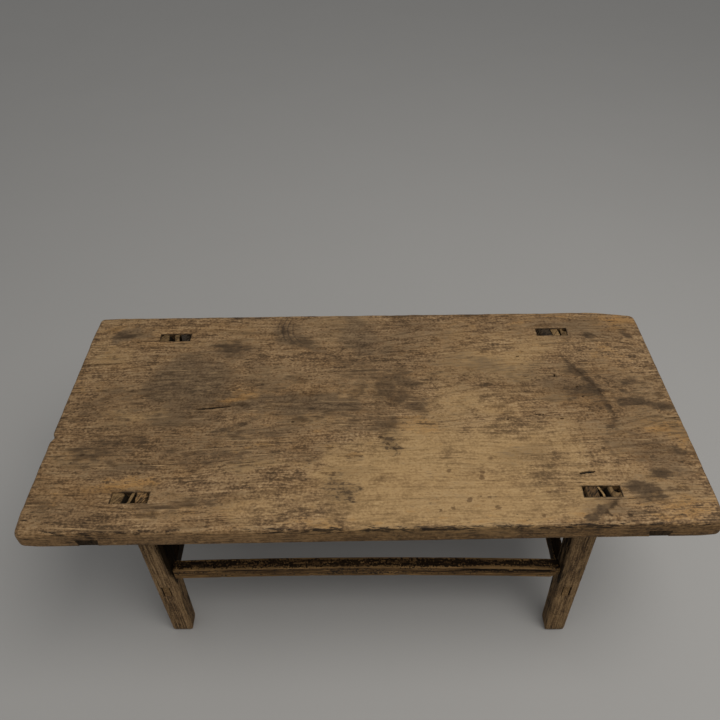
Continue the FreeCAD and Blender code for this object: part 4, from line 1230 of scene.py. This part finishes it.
blockTerms = ("name", "slot", "ease", "light", "dark", "along")
blocks = {
    "leg_wedge": ("legWedge", "wedge_wood", 0.5 * mm, (150, 121, 82), (70, 53, 34), "z"),
    "packing_block": ("packingBlock", "wedge_wood", 0.7 * mm, (124, 99, 66), (60, 45, 29), "z"),
    "stretcher_wedge": ("stretcherWedge", "wedge_wood", 0.3 * mm, (126, 99, 65), (58, 43, 27), "y"),
    "cross_batten": ("crossBatten", "frame_elm", 0.6 * mm, (92, 73, 51), (34, 26, 18), "y"),
}


def blockFinish(kind, look):
    wood = Finish("wedgeWood_" + kind, 0.06)
    place, run = wood.grain(look["along"], (5.1, 0.7, 0.2), 0.006)
    lines = wood.cloud(run, (9, 240, 240), 4, 0.62)
    stripe = wood.cloud(wood.turned(place, 0.7), (330, 60, 60), 4, 0.65)
    mottle = wood.cloud(place, (60, 80, 80), 4, 0.65)
    tone = wood.blended(0.5, [(lines, 0.9), (stripe, 2.0), (mottle, 1.2)])
    wood.ground(tone, [(0.1, look["dark"]), (0.8, look["light"])])
    # darker pieces and batten ends, and painted shade down inside the mortise
    wood.lay(wood.painted("shade"), wood.tones((8, 6, 4), (30, 23, 15)))
    return wood.done(0.78, [(tone, 1.0)], 0.6 * mm)


def shapeWedge(bm, joint, low, high, way):  # a thin, leaning split of wood
    sliceAt(bm, 1, evenSteps(low.y, high.y, 4 * mm))
    sliceAt(bm, 2, [high.z - 4 * mm, high.z - 1.5 * mm])
    middle = (low.x + high.x) / 2
    for vertex in bm.verts:
        v = (vertex.co.y - low.y) / (high.y - low.y)
        aside = (vertex.co.x - middle) * way * joint["width"]
        aside += (joint["slide"] + joint["lean"] * (0.5 - v) + joint["bow"] * 4 * v * (1 - v)) * mm
        vertex.co.x = middle + way * aside + 0.5 * mm * ripple(vertex.co, 0.006, 4.5)
        vertex.co.y = mixed(low.y, high.y, 0.03 + 0.94 * v)
        if vertex.co.z > high.z - 1 * mm:
            vertex.co.z -= 0.6 * mm * (1 + ripple(vertex.co, 0.008, 2.5))


def shapePacking(bm, joint, low, high, way):  # broken away beside the wedge, and at its outer back corner
    inner, outer = (low.x, high.x) if way > 0 else (high.x, low.x)
    long, lost = abs(outer - inner), joint["lost"] * mm
    sliceAt(bm, 1, evenSteps(low.y, high.y, 4 * mm))
    sliceAt(bm, 2, [high.z - 13 * mm, high.z - 11 * mm, high.z - 4 * mm, high.z - 1.5 * mm])
    if lost:
        sliceAt(bm, 0, [outer - way * lost * 1.1, outer - way * lost * 0.5])
    for vertex in bm.verts:
        point = vertex.co
        v = (point.y - low.y) / (high.y - low.y)
        fromOuter = (outer - point.x) * way
        onTop = point.z > high.z - 1 * mm
        if point.z > high.z - 12 * mm and fromOuter > long * 0.62:
            ragged = joint["gap"] + joint["lean"] * 0.7 * (0.5 - v)
            ragged += 1.5 * ripple((0, point.y, 0), 0.006, joint["gap"])
            point.x += way * max(0.0, ragged) * mm
        if fromOuter < lost and high.y - point.y < lost * 0.85 and point.z > high.z - lost * 0.9:
            point.z = high.z - lost * 0.9
        elif onTop:
            point.z -= 0.5 * mm * (1 + ripple(point, 0.009, 2.5))
        point.y = mixed(low.y, high.y, 0.025 + 0.95 * v)
        point.x -= way * 0.5 * mm * (1 - ease(fromOuter, 0, 2 * mm))
    bmesh.ops.remove_doubles(bm, verts=bm.verts, dist=0.02 * mm)


def shapeBatten(bm, low, high):  # its ends follow the slab's edge
    sliceAt(bm, 1, evenSteps(low.y, high.y, 12 * mm))
    for vertex in bm.verts:
        vertex.co.x += 0.25 * mm * math.copysign(1, (low.x + high.x) / 2 - vertex.co.x)
        end = math.copysign(1, vertex.co.y)
        pull = wander(vertex.co.x, vertex.co.z, end) + 0.1 * mm
        vertex.co.y -= end * pull * ease(abs(vertex.co.y), high.y - 9 * mm, high.y)
        vertex.co.z -= 0.2 * mm * ease(vertex.co.z, low.z, high.z)


def buildBlock(kind, side, look, finish):
    node = kind + "_" + side
    low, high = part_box(node)
    way = 1 if "right" in side else -1
    bm = bmesh.new()
    bm.from_mesh(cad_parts[node].data)
    bmesh.ops.remove_doubles(bm, verts=bm.verts, dist=0.01 * mm)
    bmesh.ops.dissolve_limit(bm, angle_limit=math.radians(1), verts=bm.verts, edges=bm.edges)
    shade = bm.verts.layers.float.new("shade")
    if kind == "leg_wedge":
        shapeWedge(bm, joints[side], low, high, way)
    elif kind == "packing_block":
        shapePacking(bm, joints[side], low, high, way)
    elif kind == "cross_batten":
        shapeBatten(bm, low, high)
    bm.normal_update()
    easeEdges(bm, [e for e in bm.edges if e.is_manifold and e.calc_face_angle() > 0.35], look["ease"], 2)
    bmesh.ops.remove_doubles(bm, verts=bm.verts, dist=0.02 * mm)
    bmesh.ops.dissolve_degenerate(bm, edges=bm.edges, dist=0.02 * mm)
    for vertex in bm.verts:
        below = high.z - vertex.co.z
        # painted shade on the sides below the top, down inside the mortise
        sunk = ease(below, 1.7 * mm, 3.8 * mm) * (1 - ease(below, 25 * mm, 34 * mm))
        if kind == "leg_wedge":
            vertex[shade] = max(joints[side]["wedgeShade"], sunk)
        elif kind == "packing_block":
            vertex[shade] = max(joints[side]["packShade"], sunk)
        elif kind == "cross_batten":
            vertex[shade] = 0.22 + 0.38 * ease(abs(vertex.co.y), high.y - 16 * mm, high.y - 4 * mm)
        else:
            vertex[shade] = 0.1
    keepPiece(bm, look["name"] + "_" + side, node, finish, 35)


for kind, row in blocks.items():
    look = dict(zip(blockTerms, row))
    finish = blockFinish(kind, look)
    for side in ("left", "right") if kind == "cross_batten" else joints:
        buildBlock(kind, side, look, finish)
